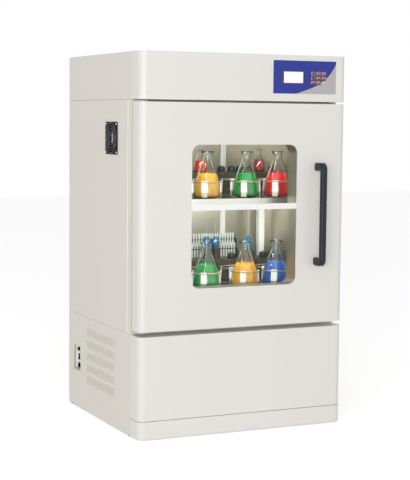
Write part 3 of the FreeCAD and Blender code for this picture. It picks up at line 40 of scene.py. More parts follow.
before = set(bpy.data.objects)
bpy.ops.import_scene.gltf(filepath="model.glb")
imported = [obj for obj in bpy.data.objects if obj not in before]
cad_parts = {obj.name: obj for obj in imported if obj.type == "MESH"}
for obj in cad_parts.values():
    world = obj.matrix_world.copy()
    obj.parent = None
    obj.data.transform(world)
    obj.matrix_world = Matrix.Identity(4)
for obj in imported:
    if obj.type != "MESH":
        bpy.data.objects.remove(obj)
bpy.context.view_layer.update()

MM = 0.001
ORIGIN = Vector((0.0, 0.0, 0.0))
X_AXIS = Vector((1.0, 0.0, 0.0))
Y_AXIS = Vector((0.0, 1.0, 0.0))
Z_AXIS = Vector((0.0, 0.0, 1.0))
TURN = 2.0 * math.pi
QUARTER = TURN / 4.0
SHARP_EDGE = math.radians(32.0)
WELD = 0.01 * MM
CLEAR = 0.3 * MM
FLOOR_LIFT = 0.42

# Flask clamps, as shares of half the platform's width in each row, and the rows' distance from its front edge
FRONT_ROW_SHARES = (-0.50, -0.16, 0.32, 0.71)
REAR_ROW_SHARES = (-0.47, -0.05, 0.37, 0.79)
FRONT_ROW_INSET = 66.0 * MM
REAR_ROW_INSET = 196.0 * MM
CLAMP_TURN = math.radians(54.0)

# What stands in each clamp of the front row, left to right
UPPER_FRONT_FLASKS = ("green", "amber", "green", "red")
LOWER_FRONT_FLASKS = ("blue", "green", "amber", "blue")
# What stands on the step behind: place across, stand under it, dye, outline, and its width and height shares
REAR_FLASKS = {
    "upper": ((26.0, 0.0, "red", "conical", 0.5, 0.5), (287.0, 0.0, "claret", "conical", 0.52, 0.52)),
    "lower": ((58.0, 43.0, "teal", "slim", 0.42, 0.6), (96.0, 43.0, "teal", "slim", 0.42, 0.6),
              (245.0, 24.0, "teal", "slim", 0.5, 0.8)),
}
# Dark knobs along each step's front edge: places across, in millimetres
STEP_KNOBS = {"upper": (104.0, 148.0, 184.0, 236.0, 330.0), "lower": (152.0, 188.0, 296.0, 331.0)}

# Half outlines of the glassware and of what fills it, in millimetres: radius and height above the foot
CONICAL_OUTSIDE = ((0.0, 3.0), (33.0, 0.6), (39.0, 0.0), (45.6, 2.2), (50.4, 7.4), (52.6, 15.0), (52.0, 25.0),
                   (46.5, 62.0), (25.6, 122.0), (19.5, 135.0), (17.2, 146.0), (17.0, 160.0), (19.4, 168.0),
                   (24.0, 173.0), (24.6, 174.2), (23.6, 175.0))
CONICAL_FILL = ((0.0, 5.2), (32.6, 2.8), (38.6, 2.3), (44.2, 4.1), (48.4, 8.6), (50.3, 15.4), (49.7, 25.0),
                (44.4, 61.0), (34.2, 90.6), (32.8, 92.0), (0.0, 92.0))
SLIM_OUTSIDE = ((0.0, 2.0), (22.0, 0.4), (30.0, 0.0), (37.0, 6.0), (43.0, 22.0), (44.0, 36.0), (38.0, 54.0),
                (24.0, 70.0), (13.0, 84.0), (9.0, 96.0), (8.2, 120.0), (8.0, 185.0), (9.4, 190.0), (9.4, 192.0),
                (8.6, 192.8))
SLIM_FILL = ((0.0, 4.0), (22.0, 2.6), (29.5, 2.2), (35.4, 7.4), (41.0, 22.6), (42.0, 35.6), (36.4, 53.0),
             (22.6, 68.6), (20.0, 72.0), (0.0, 72.0))
GLASSWARE = {"conical": (CONICAL_OUTSIDE, CONICAL_FILL), "slim": (SLIM_OUTSIDE, SLIM_FILL)}
# The point of an outside outline where the vessel's flat foot ends
FOOT_POINT = 2
GLASS_WALL = 1.9 * MM
VESSEL_STEPS = 40

# Half outlines of small turned pieces, in millimetres
KNOB_DOME = ((0.0, 0.3), (15.0, 0.3), (16.0, 3.0), (16.0, 17.0), (13.0, 22.0), (6.0, 25.0), (0.0, 25.5))
TEST_TUBE = ((0.0, 0.0), (2.0, 0.6), (3.2, 2.0), (3.8, 4.4), (3.8, 98.0), (4.2, 100.0))
SCREW_DOME = ((0.0, 1.9), (1.6, 1.7), (3.0, 1.0), (3.6, 0.0), (0.0, -0.4))
FAN_HUB = ((0.0, -0.6), (12.0, 0.0), (18.0, 1.4), (20.0, 4.0), (20.0, 20.0), (0.0, 20.0))

TUBE_COLUMNS = 29
LOUVRE_ROWS = 5
LOUVRE_COLUMNS = 14

# The sign on each key and half its height in millimetres, and how a round or pointed sign is made and turned
KEY_SIGNS = {1: ("square", 2.8), 2: ("up", 3.2), 3: ("bars", 0.0), 4: ("dot", 3.3), 5: ("ring", 3.0),
             6: ("left", 3.5), 7: ("dot", 2.9), 8: ("down", 3.3), 9: ("up", 3.4)}
SIGN_SIDES = {"down": 3, "up": 3, "left": 3, "dot": 20, "ring": 24}
SIGN_TURNS = {"down": TURN / 2.0, "left": QUARTER}
# Printed ink starts this far before its panel
INK_GAP = 0.02 * MM


def linear(hex_colour):
    """Turns an sRGB hex value into linear red, green, blue and an alpha of one."""
    values = []
    for i in (1, 3, 5):
        share = int(hex_colour[i:i + 2], 16) / 255.0
        if share <= 0.04045:
            values.append(share / 12.92)
        else:
            values.append(((share + 0.055) / 1.055) ** 2.4)
    return (values[0], values[1], values[2], 1.0)


def darker(colour, share):
    """The same colour at a share of its light."""
    return (colour[0] * share, colour[1] * share, colour[2] * share, 1.0)


def add_node(tree, kind, inputs=None, **settings):
    """Adds a node; inputs gives each socket a value or links another node's socket to it."""
    node = tree.nodes.new(kind)
    for name, value in settings.items():
        setattr(node, name, value)
    for socket, value in (inputs or {}).items():
        if isinstance(value, bpy.types.NodeSocket):
            tree.links.new(value, node.inputs[socket])
        else:
            node.inputs[socket].default_value = value
    return node


def start_material(name):
    """An empty node material and its tree."""
    material = bpy.data.materials.new(name)
    material.use_nodes = True
    material.node_tree.nodes.clear()
    return material, material.node_tree


def finish_material(material, surface):
    """Joins the surface to the material's output and hands the material back."""
    add_node(material.node_tree, "ShaderNodeOutputMaterial", {"Surface": surface})
    return material


def grain(tree, size_mm, detail=2.0, stretch=(1.0, 1.0, 1.0)):
    """Noise whose grains are about size_mm wide in the object's own place."""
    place = add_node(tree, "ShaderNodeTexCoord")
    mapped = add_node(tree, "ShaderNodeMapping", {"Vector": place.outputs["Object"], "Scale": stretch})
    noise = add_node(tree, "ShaderNodeTexNoise", {
        "Vector": mapped.outputs["Vector"], "Scale": 1.0 / (size_mm * MM), "Detail": detail})
    return noise.outputs["Fac"]


def solid_finish(name, dark, light, tone, skin, inputs):
    """A finish that hides what is under it: one grain mixes its two colours and another bumps its skin.

    Tone holds what grain takes. Skin holds the same, then the bump's depth in millimetres and its strength.
    """
    material, tree = start_material(name)
    mixed = add_node(tree, "ShaderNodeMix", {0: grain(tree, *tone), 6: dark, 7: light}, data_type="RGBA")
    values = {"Base Color": mixed.outputs[2], **inputs}
    if skin:
        pattern, depth_mm, strength = skin
        bump = add_node(tree, "ShaderNodeBump", {
            "Height": grain(tree, *pattern), "Distance": depth_mm * MM, "Strength": strength})
        values["Normal"] = bump.outputs["Normal"]
    surface = add_node(tree, "ShaderNodeBsdfPrincipled", values)
    return finish_material(material, surface.outputs["BSDF"])


def powder_coat(name, colour):
    """Polyester powder coat on sheet steel: satin, with a fine orange peel and a faint drift of tone."""
    return solid_finish(name, darker(colour, 0.975), colour, (420.0,), ((2.2,), 0.05, 0.12),
                        {"Roughness": 0.38, "IOR": 1.5})


def brushed_stainless(name, colour, stretch, roughness):
    """Cold-rolled stainless sheet with a brushed finish: long soft streaks across the reflections.

    The real grit is a tenth of a millimetre, so the streaks are drawn coarser to show.
    """
    streaks = (9.0, 4.0, stretch)
    return solid_finish(name, darker(colour, 0.82), colour, streaks, (streaks, 0.02, 0.25),
                        {"Metallic": 1.0, "Roughness": roughness})


def bright_stainless(name, colour):
    """Bright stainless or nickel: nearly a mirror, softly clouded."""
    cloud = (14.0,)
    return solid_finish(name, darker(colour, 0.9), colour, cloud, (cloud, 0.15, 0.3),
                        {"Metallic": 1.0, "Roughness": 0.16})


def turned_metal(name, colour, roughness):
    """Machined or rolled metal: even, with fine tool marks that are drawn coarser than real ones to show."""
    marks = (1.4, 3.0)
    return solid_finish(name, darker(colour, 0.88), colour, marks, (marks, 0.02, 0.3),
                        {"Metallic": 1.0, "Roughness": roughness})


def enamelled_wire(name, colour):
    """Steel wire under enamel: a thin glossy skin with soft runs."""
    runs = (6.0,)
    return solid_finish(name, darker(colour, 0.8), colour, runs, (runs, 0.05, 0.2),
                        {"Roughness": 0.3, "IOR": 1.5, "Specular IOR Level": 0.3})


def coated_grip(name, colour):
    """Dark coated handle bar: satin, a little lighter where hands rub it."""
    return solid_finish(name, colour, linear("#26303C"), (60.0, 3.0), ((1.0,), 0.02, 0.2),
                        {"Roughness": 0.36, "IOR": 1.5, "Specular IOR Level": 0.3})


def moulded_plastic(name, colour, roughness, shine=0.5):
    """Injection-moulded plastic with a spark-eroded texture, drawn coarser than the real one to show."""
    spark = (1.2,)
    return solid_finish(name, darker(colour, 0.92), colour, spark, (spark, 0.03, 0.25),
                        {"Roughness": roughness, "IOR": 1.46, "Specular IOR Level": shine})


def moulded_rubber(name, colour):
    """Moulded rubber: matt, with a dry bloom."""
    return solid_finish(name, colour, linear("#3A3A3A"), (18.0, 4.0), ((1.6,), 0.05, 0.3),
                        {"Roughness": 0.78, "IOR": 1.5})


def flat_print(name, colour):
    """Screen ink on plastic: even, with the film's fine texture in its tone."""
    return solid_finish(name, darker(colour, 0.95), colour, (0.8,), None, {"Roughness": 0.45, "IOR": 1.5})


def lit_display(name, colour):
    """Backlit display glass: pale, glossy and faintly lit from behind."""
    return solid_finish(name, darker(colour, 0.97), colour, (6.0,), None, {
        "Roughness": 0.12, "IOR": 1.5, "Emission Color": colour, "Emission Strength": 0.18})


def rigid_foam(name, colour):
    """Cut polyurethane foam: matt cream with open cells."""
    material, tree = start_material(name)
    cells = add_node(tree, "ShaderNodeTexVoronoi", {
        "Vector": add_node(tree, "ShaderNodeTexCoord").outputs["Object"], "Scale": 1.0 / (3.0 * MM)})
    tone = add_node(tree, "ShaderNodeMix", {0: cells.outputs["Distance"], 6: colour, 7: darker(colour, 0.8)},
                    data_type="RGBA")
    bump = add_node(tree, "ShaderNodeBump", {
        "Height": cells.outputs["Distance"], "Distance": 0.4 * MM, "Strength": 0.5})
    foam = add_node(tree, "ShaderNodeBsdfPrincipled", {
        "Base Color": tone.outputs[2], "Roughness": 0.95, "Normal": bump.outputs["Normal"]})
    return finish_material(material, foam.outputs["BSDF"])


def hammered_enamel(name, dark, light):
    """Hammered enamel on steel: dark, with dimples about 7 mm wide. Their lighter tone is partly painted
    highlight, where the dimples would catch the light.
    """
    material, tree = start_material(name)
    dimples = grain(tree, 7.0, 1.0)
    spread = add_node(tree, "ShaderNodeMapRange", {"Value": dimples, "From Min": 0.42, "From Max": 0.68})
    # The lighter colour on the dimples is partly painted highlight
    tone = add_node(tree, "ShaderNodeMix", {0: spread.outputs[0], 6: dark, 7: light}, data_type="RGBA")
    bump = add_node(tree, "ShaderNodeBump", {"Height": dimples, "Distance": 0.4 * MM, "Strength": 0.4})
    enamel = add_node(tree, "ShaderNodeBsdfPrincipled", {
        "Base Color": tone.outputs[2], "Roughness": 0.35, "IOR": 1.5, "Normal": bump.outputs["Normal"]})
    return finish_material(material, enamel.outputs["BSDF"])


def window_pane(name):
    """Clear float glass with an anti-reflection coat: only a faint sheen on the side one looks at."""
    material, tree = start_material(name)
    sheen = add_node(tree, "ShaderNodeFresnel", {"IOR": 1.45})
    side = add_node(tree, "ShaderNodeNewGeometry")
    front = add_node(tree, "ShaderNodeMath", {0: 1.0, 1: side.outputs["Backfacing"]}, operation="SUBTRACT")
    coat = add_node(tree, "ShaderNodeMath", {0: front.outputs[0], 1: 0.3}, operation="MULTIPLY")
    share = add_node(tree, "ShaderNodeMath", {0: sheen.outputs["Fac"], 1: coat.outputs[0]},
                     operation="MULTIPLY")
    clear = add_node(tree, "ShaderNodeBsdfTransparent", {"Color": linear("#FDFEFD")})
    mirror = add_node(tree, "ShaderNodeBsdfGlossy", {"Color": linear("#FFFFFF"), "Roughness": 0.02})
    mixed = add_node(tree, "ShaderNodeMixShader", {
        0: share.outputs[0], 1: clear.outputs["BSDF"], 2: mirror.outputs["BSDF"]})
    return finish_material(material, mixed.outputs["Shader"])


def borosilicate_glass(name):
    """Blown borosilicate glass: colourless, with bright rims; it lets lamp light pass."""
    material, tree = start_material(name)
    glass = add_node(tree, "ShaderNodeBsdfPrincipled", {
        "Base Color": linear("#F7FBFA"), "Roughness": 0.02, "IOR": 1.47, "Transmission Weight": 1.0})
    clear = add_node(tree, "ShaderNodeBsdfTransparent", {"Color": linear("#FAFCFB")})
    ray = add_node(tree, "ShaderNodeLightPath")
    mixed = add_node(tree, "ShaderNodeMixShader", {
        0: ray.outputs["Is Shadow Ray"], 1: glass.outputs["BSDF"], 2: clear.outputs["BSDF"]})
    return finish_material(material, mixed.outputs["Shader"])


def dyed_liquid(name, colour):
    """Dyed culture medium: saturated and half clear. Its glow is painted light: an emission in the liquid's tone
    for light from the far side shining through.
    """
    material, tree = start_material(name)
    tone = add_node(tree, "ShaderNodeMix", {0: grain(tree, 16.0, 3.0), 6: darker(colour, 0.45), 7: colour},
                    data_type="RGBA").outputs[2]
    # The emission paints a glow; the liquid is no lamp
    liquid = add_node(tree, "ShaderNodeBsdfPrincipled", {
        "Base Color": tone, "Roughness": 0.08, "IOR": 1.33, "Transmission Weight": 0.15,
        "Emission Color": tone, "Emission Strength": 0.16})
    return finish_material(material, liquid.outputs["BSDF"])


def between(tree, value, low, high):
    """One where a value lies between two limits, and nought elsewhere."""
    above = add_node(tree, "ShaderNodeMath", {0: value, 1: low}, operation="GREATER_THAN")
    below = add_node(tree, "ShaderNodeMath", {0: value, 1: high}, operation="LESS_THAN")
    both = add_node(tree, "ShaderNodeMath", {0: above.outputs[0], 1: below.outputs[0]}, operation="MULTIPLY")
    return both.outputs[0]


def panel_print(name, finishes):
    """Screen-printed polyester film: a blue field, a grey corner under a curve and a thin red line."""
    material, tree = start_material(name)
    low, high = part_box("control_panel")
    height = high.z - low.z
    start_share = 0.36
    steep_power = 4.6
    steep_share = 0.47
    gentle_share = 0.45
    line_low = -0.6 * MM
    line_high = 0.9 * MM
    curve_start = low.x + (high.x - low.x) * start_share
    place = add_node(tree, "ShaderNodeSeparateXYZ", {
        0: add_node(tree, "ShaderNodeTexCoord").outputs["Object"]})
    along = add_node(tree, "ShaderNodeMapRange", {
        "Value": place.outputs["X"], "From Min": curve_start, "From Max": high.x})
    # The curve climbs evenly at first, and steeply towards the panel's right edge
    steep = add_node(tree, "ShaderNodeMath", {0: along.outputs[0], 1: steep_power}, operation="POWER")
    gentle = add_node(tree, "ShaderNodeMath", {0: along.outputs[0], 1: height * gentle_share},
                      operation="MULTIPLY")
    rise = add_node(tree, "ShaderNodeMath", {
        0: steep.outputs[0], 1: height * steep_share, 2: gentle.outputs[0]}, operation="MULTIPLY_ADD")
    above = add_node(tree, "ShaderNodeMath", {0: place.outputs["Z"], 1: low.z}, operation="SUBTRACT")
    gap = add_node(tree, "ShaderNodeMath", {0: above.outputs[0], 1: rise.outputs[0]}, operation="SUBTRACT")
    right = add_node(tree, "ShaderNodeMath", {0: place.outputs["X"], 1: curve_start}, operation="GREATER_THAN")
    under = between(tree, gap.outputs[0], -height * 2.0, 0.0)
    corner = add_node(tree, "ShaderNodeMath", {0: under, 1: right.outputs[0]}, operation="MULTIPLY")
    on_line = between(tree, gap.outputs[0], line_low, line_high)
    line = add_node(tree, "ShaderNodeMath", {0: on_line, 1: right.outputs[0]}, operation="MULTIPLY")
    field = add_node(tree, "ShaderNodeMix", {
        0: corner.outputs[0], 6: linear(finishes.panel_blue), 7: linear(finishes.panel_grey)}, data_type="RGBA")
    printed = add_node(tree, "ShaderNodeMix", {0: line.outputs[0], 6: field.outputs[2], 7: linear("#B8385C")},
                       data_type="RGBA")
    bump = add_node(tree, "ShaderNodeBump", {
        "Height": grain(tree, 0.8), "Distance": 0.02 * MM, "Strength": 0.15})
    film = add_node(tree, "ShaderNodeBsdfPrincipled", {
        "Base Color": printed.outputs[2], "Roughness": 0.5, "IOR": 1.5, "Specular IOR Level": 0.2,
        "Normal": bump.outputs["Normal"]})
    return finish_material(material, film.outputs["BSDF"])


def seen_directly(tree):
    """One for what the camera sees straight, in a mirror or through glass, and nought for bounced light."""
    ray = add_node(tree, "ShaderNodeLightPath")
    seen = add_node(tree, "ShaderNodeMath", {0: ray.outputs["Is Camera Ray"], 1: ray.outputs["Is Glossy Ray"]},
                    operation="MAXIMUM")
    through = add_node(tree, "ShaderNodeMath", {0: seen.outputs[0], 1: ray.outputs["Is Transmission Ray"]},
                       operation="MAXIMUM")
    return through.outputs[0]


def paper_sweep(name):
    """Seamless paper sweep: white where light falls on it and grey in the object's shadow."""
    material, tree = start_material(name)
    fibre = add_node(tree, "ShaderNodeMix", {
        0: grain(tree, 40.0), 6: linear("#F2F2F2"), 7: linear("#F6F6F6")}, data_type="RGBA")
    paper = add_node(tree, "ShaderNodeBsdfDiffuse", {"Color": fibre.outputs[2], "Roughness": 0.3})
    lift = add_node(tree, "ShaderNodeMath", {0: seen_directly(tree), 1: FLOOR_LIFT}, operation="MULTIPLY")
    white = add_node(tree, "ShaderNodeEmission", {"Color": linear("#FFFFFF"), "Strength": lift.outputs[0]})
    both = add_node(tree, "ShaderNodeAddShader", {0: paper.outputs["BSDF"], 1: white.outputs["Emission"]})
    return finish_material(material, both.outputs["Shader"])


def add_piece(name, bm, material, body, replaces=(), smooth=True):
    """Makes the finished mesh an object at the origin that rides on a body."""
    mesh = bpy.data.meshes.new(name)
    bm.to_mesh(mesh)
    bm.free()
    mesh.materials.append(material)
    if smooth:
        for polygon in mesh.polygons:
            polygon.use_smooth = True
        mesh.set_sharp_from_angle(angle=SHARP_EDGE)
    piece = bpy.data.objects.new(name, mesh)
    bpy.context.scene.collection.objects.link(piece)
    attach(piece, body)
    if replaces:
        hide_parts(*replaces)


def closed(bm):
    """Merges doubles and turns every face outwards."""
    bmesh.ops.remove_doubles(bm, verts=bm.verts, dist=WELD)
    bmesh.ops.recalc_face_normals(bm, faces=bm.faces)


def edges_at(verts):
    """Every edge that meets one of the corners."""
    return list({edge for vert in verts for edge in vert.link_edges})


def round_off(bm, edges, radius, segments):
    """Rounds edges to a radius."""
    bmesh.ops.bevel(bm, geom=edges, offset=radius, segments=segments, profile=0.5, affect="EDGES", material=-1)


def draw_out(bm, faces, path):
    """Extrudes faces along a path."""
    made = bmesh.ops.extrude_face_region(bm, geom=faces)
    moved = [item for item in made["geom"] if isinstance(item, bmesh.types.BMVert)]
    bmesh.ops.translate(bm, verts=moved, vec=path)


def draw_out_loops(bm, verts, path):
    """Bridges two closed loops and draws the strip between them out along a path."""
    made = bmesh.ops.bridge_loops(bm, edges=edges_at(verts))
    draw_out(bm, made["faces"], path)


def spin_round(bm, outline, steps, matrix):
    """Spins an outline a full turn about the matrix's own Z axis."""
    bmesh.ops.spin(bm, geom=outline, cent=matrix.translation, axis=matrix.to_3x3() @ Z_AXIS, dvec=ORIGIN,
                   angle=TURN, steps=steps, use_merge=True, use_duplicate=False)


def add_block(bm, low, high, bevel=0.0):
    """Adds a block between two corners, with its edges rounded."""
    centre = (Vector(low) + Vector(high)) / 2.0
    size = Vector(high) - Vector(low)
    matrix = Matrix.Translation(centre) @ Matrix.Diagonal((size.x, size.y, size.z, 1.0))
    made = bmesh.ops.create_cube(bm, size=1.0, matrix=matrix)
    if bevel > 0.0:
        round_off(bm, edges_at(made["verts"]), bevel, 2)


def add_turned(bm, profile, steps, matrix):
    """Adds a body of revolution; profile pairs are radius and height along the matrix's own Z axis, in mm."""
    verts = [bm.verts.new(matrix @ Vector((radius * MM, 0.0, height * MM))) for radius, height in profile]
    edges = [bm.edges.new(pair) for pair in zip(verts, verts[1:])]
    spin_round(bm, verts + edges, steps, matrix)


def add_ring(bm, radius, wire, steps, matrix):
    """Adds a closed ring of round wire about the matrix's own Z axis."""
    section = bmesh.ops.create_circle(
        bm, segments=8, radius=wire, cap_ends=False,
        matrix=matrix @ Matrix.Translation((radius, 0.0, 0.0)) @ Matrix.Rotation(QUARTER, 4, "X"))
    spin_round(bm, section["verts"] + edges_at(section["verts"]), steps, matrix)


def add_strip(bm, outline, half, matrix):
    """A flat outline in the matrix's XZ plane, drawn out by a half width to both sides."""
    face = bm.faces.new([bm.verts.new(matrix @ Vector((x, -half, z))) for x, z in outline])
    draw_out(bm, [face], matrix.to_3x3() @ Vector((0.0, half * 2.0, 0.0)))


def spot_matrix(place, turn=0.0):
    """Moves a shape made at the origin to a place, turned about the upright."""
    return Matrix.Translation(place) @ Matrix.Rotation(turn, 4, "Z")


def row_places(platform, shares, inset):
    """Middle of each clamp of one row on a platform."""
    low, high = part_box(platform)
    half = (high.x - low.x) / 2.0
    return [Vector((share * half, low.y + inset, high.z)) for share in shares]


def paint_nodes(settings):
    """Gives every frame node its own finish."""
    finishes = {
        powder_coat("Powder coat, warm white", linear(settings.cover_colour)): [
            "plinth_cover", "lower_front_cover", "head_front_cover", "door_skin"],
        # The side sheets take a darker, warmer copy of the covers' coat: painted shade on the sheets turned away
        # from the key light
        powder_coat("Powder coat, side sheets, painted shade", linear(settings.side_shade_colour)): [
            "lower_side_panels", "side_panels", "rear_panel", "front_frame", "head_cover"],
        brushed_stainless("Brushed stainless sheet, liner", linear(settings.liner_colour),
                          (1.0, 1.0, 0.05), 0.38): ["chamber_liner", "door_liner", "duct_panel"],
        brushed_stainless("Brushed stainless sheet, platforms", linear("#E2E0D8"),
                          (0.05, 1.0, 1.0), 0.42): ["lower_platform", "upper_platform"],
        powder_coat("Powder coat, post white", linear("#FAFAF6")): ["platform_posts"],
        turned_metal("Satin stainless strip", linear("#B4B0A6"), 0.42): ["flask_clamps", "clamp_springs"],
        turned_metal("Ground steel", linear("#B9BABC"), 0.28): [
            "main_crank", "idler_crank_left", "idler_crank_right", "motor_rotor"],
        turned_metal("Machined aluminium", linear("#C6C8CA"), 0.36): [
            "bearing_housings", "driven_pulley", "carriage_frame", "circulation_impeller"],
        turned_metal("Rolled aluminium fins", linear("#CCCED0"), 0.42): [
            "evaporator", "air_heater", "condenser"],
        turned_metal("Zinc-plated steel", linear("#BFC0BC"), 0.45): ["hinge_brackets"],
        powder_coat("Powder coat, charcoal", linear("#3A3C3E")): ["chassis_frame", "side_fan_guard"],
        powder_coat("Powder coat, bright white", linear(settings.bar_colour)): ["window_crossbar"],
        moulded_plastic("Moulded nylon, black", linear("#2A2722"), 0.6, 0.05): ["side_fan_frame"],
        moulded_plastic("Moulded ABS, black", linear("#121214"), 0.3, 0.2): [
            "inlet_socket", "fuse_holder", "power_rocker"],
        moulded_plastic("Moulded ABS, white", linear("#FCFAF6"), 0.45): ["inlet_cup"],
        moulded_plastic("Moulded nylon, slate blue", linear("#1C3C68"), 0.4, 0.15): ["side_fan_impeller"],
        moulded_plastic("Moulded silicone, pale grey", linear("#DADBDC"), 0.5): [
            "key_" + str(number) for number in KEY_SIGNS],
        moulded_rubber("Moulded rubber, black", linear("#161616")): ["levelling_feet", "drive_belt"],
        moulded_rubber("Extruded silicone seal", linear("#B9B4AA")): ["door_gasket"],
        rigid_foam("Rigid polyurethane foam", linear("#EFE6C4")): ["foam_insulation", "door_foam"],
        powder_coat("Baked enamel, black", linear("#18181A")): [
            "compressor", "drive_motor", "circulation_motor"],
        moulded_plastic("Solder resist on glass fibre", linear("#1C5A38"), 0.3): ["circuit_board"],
        window_pane("Tempered float glass"): ["window_glass"],
        panel_print("Screen-printed film", settings): ["control_panel"],
        lit_display("Backlit display glass", linear("#F4F7FA")): ["display_window"],
        coated_grip("Dark coated bar", linear(settings.handle_colour)): ["door_handle"],
    }
    for material, names in finishes.items():
        for name in names:
            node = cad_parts[name]
            node.data.materials.clear()
            node.data.materials.append(material)


def node_finish(name):
    """The finish that a frame node has been given, for the piece that takes the node's place."""
    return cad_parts[name].data.materials[0]


def build_handle(sizes, finishes):
    """Bow handle: a flat-sided bar with deep feet, rounded at its corners and along its edges."""
    low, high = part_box("door_handle")
    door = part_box("door_skin")[0].y - CLEAR
    back = low.y + sizes.handle_bar
    foot = sizes.handle_foot
    middle = (low.z + high.z) / 2.0
    inner_bend = sizes.handle_bar * 0.3
    bm = bmesh.new()
    add_block(bm, low, (high.x, back, high.z))
    for z in (low.z + foot, high.z - foot):
        whole = bm.verts[:] + bm.edges[:] + bm.faces[:]
        bmesh.ops.bisect_plane(bm, geom=whole, plane_co=(0.0, 0.0, z), plane_no=Z_AXIS)
    ends = [face for face in bm.faces
            if face.normal.y > 0.5 and abs(face.calc_center_median().z - middle) > foot]
    for end in ends:
        draw_out(bm, [end], (0.0, door - back, 0.0))
    bmesh.ops.delete(bm, geom=ends, context="FACES_ONLY")
    round_bends(bm, lambda place: place.y < low.y + CLEAR, sizes.handle_bend, 10)
    round_bends(bm, lambda place: low.y + sizes.handle_bend < place.y < door - CLEAR, inner_bend, 5)
    rims = [edge for edge in bm.edges if is_sharp(edge) and min(vert.co.y for vert in edge.verts) < door - CLEAR]
    round_off(bm, rims, sizes.handle_edge, 4)
    bmesh.ops.recalc_face_normals(bm, faces=bm.faces)
    grip = coated_grip("Dark coated bar, rubbed edges", linear(finishes.handle_colour))
    add_piece("handle_bar", bm, grip, "door", ("door_handle",))


def is_sharp(edge):
    """Whether two faces meet at an edge and turn there."""
    return len(edge.link_faces) == 2 and edge.calc_face_angle() > SHARP_EDGE


def round_bends(bm, wanted, radius, segments):
    """Rounds the sharp edges that run along X and whose middle is in the wanted place."""
    chosen = []
    for edge in bm.edges:
        start, end = (vert.co for vert in edge.verts)
        line = end - start
        if line.length > CLEAR and line.normalized().cross(X_AXIS).length < 0.01:
            if wanted((start + end) / 2.0) and is_sharp(edge):
                chosen.append(edge)
    round_off(bm, chosen, radius, segments)


def build_clamps(sizes):
    """Four-finger flask clamps of bent strip, with white sleeves and a spring loop round each."""
    clamps, sleeves, springs = bmesh.new(), bmesh.new(), bmesh.new()
    seat = Matrix.Translation((0.0, 0.0, sizes.clamp_sheet / 2.0)) @ Matrix.Diagonal(
        (sizes.clamp_width, sizes.clamp_width, sizes.clamp_sheet, 1.0))
    lift = Vector((0.0, 0.0, sizes.spring_height))
    for platform in ("lower_platform", "upper_platform"):
        places = (row_places(platform, FRONT_ROW_SHARES, FRONT_ROW_INSET)
                  + row_places(platform, REAR_ROW_SHARES, REAR_ROW_INSET))
        for place in places:
            turned = spot_matrix(place, CLAMP_TURN)
            bmesh.ops.create_cube(clamps, size=1.0, matrix=turned @ seat)
            for quarter in range(4):
                spot = turned @ Matrix.Rotation(QUARTER * quarter, 4, "Z")
                add_finger(clamps, sizes, spot)
                add_sleeve(sleeves, sizes, spot)
            add_ring(springs, sizes.spring_radius, sizes.spring_wire / 2.0, 48, spot_matrix(place + lift))
    for bm in (clamps, sleeves, springs):
        closed(bm)
    vinyl = moulded_plastic("Moulded vinyl, white", linear("#F6F6F2"), 0.4)
    coil = turned_metal("Spring steel coil", linear("#C8B4A2"), 0.5)
    add_piece("flask_clamp_fingers", clamps, node_finish("flask_clamps"), "carriage",
              ("flask_clamps",))
    add_piece("clamp_sleeves", sleeves, vinyl, "carriage")
    add_piece("clamp_spring_loops", springs, coil, "carriage", ("clamp_springs",))


def add_finger(bm, sizes, matrix):
    """One bent strip: a foot from the clamp's middle, a rounded heel and a leaning finger."""
    sheet = sizes.clamp_sheet
    reach = sizes.clamp_reach
    half = sizes.clamp_width / 2.0
    heel = 5.0 * MM
    heel_steps = 5
    outside = [(half, 0.0)]
    inside = [(half, sheet)]
    for step in range(heel_steps + 1):
        angle = QUARTER * step / heel_steps
        for line, radius in ((outside, heel), (inside, heel - sheet)):
            line.append((reach - heel + radius * math.sin(angle), heel - radius * math.cos(angle)))
    tip = reach - sizes.clamp_lean
    outside.append((tip, sizes.clamp_height))
    inside.append((tip - sheet, sizes.clamp_height))
    add_strip(bm, outside + inside[::-1], half, matrix)


def add_sleeve(bm, sizes, matrix):
    """White sleeve round the upper part of a finger."""
    skin = 0.5 * MM
    top = sizes.clamp_height + skin
    outline = []
    for height, side in ((sizes.sleeve_foot, 1.0), (top, 1.0), (top, -1.0), (sizes.sleeve_foot, -1.0)):
        lean = sizes.clamp_lean * height / sizes.clamp_height
        back = 0.0 if side > 0.0 else sizes.clamp_sheet
        outline.append((sizes.clamp_reach - lean - back + skin * side, height))
    add_strip(bm, outline, sizes.clamp_width / 2.0 + skin, matrix)


def scaled(outline, wide, tall):
    """The same half outline at another width and height."""
    return [(radius * wide, height * tall) for radius, height in outline]


def add_vessel(label, kind, shares, place, glass, dye):
    """A blown glass vessel of even wall, open at the neck, and the liquid just clear of its wall."""
    outside, fill = GLASSWARE[kind]
    wide, tall = shares
    vessel, liquid = bmesh.new(), bmesh.new()
    for bm, outline in ((vessel, outside), (liquid, fill)):
        add_turned(bm, scaled(outline, wide, tall), VESSEL_STEPS, spot_matrix(place))
        closed(bm)
    bmesh.ops.solidify(vessel, geom=vessel.faces, thickness=GLASS_WALL * wide)
    add_piece("flask_" + label, vessel, glass, "carriage")
    add_piece("liquid_" + label, liquid, dye, "carriage")


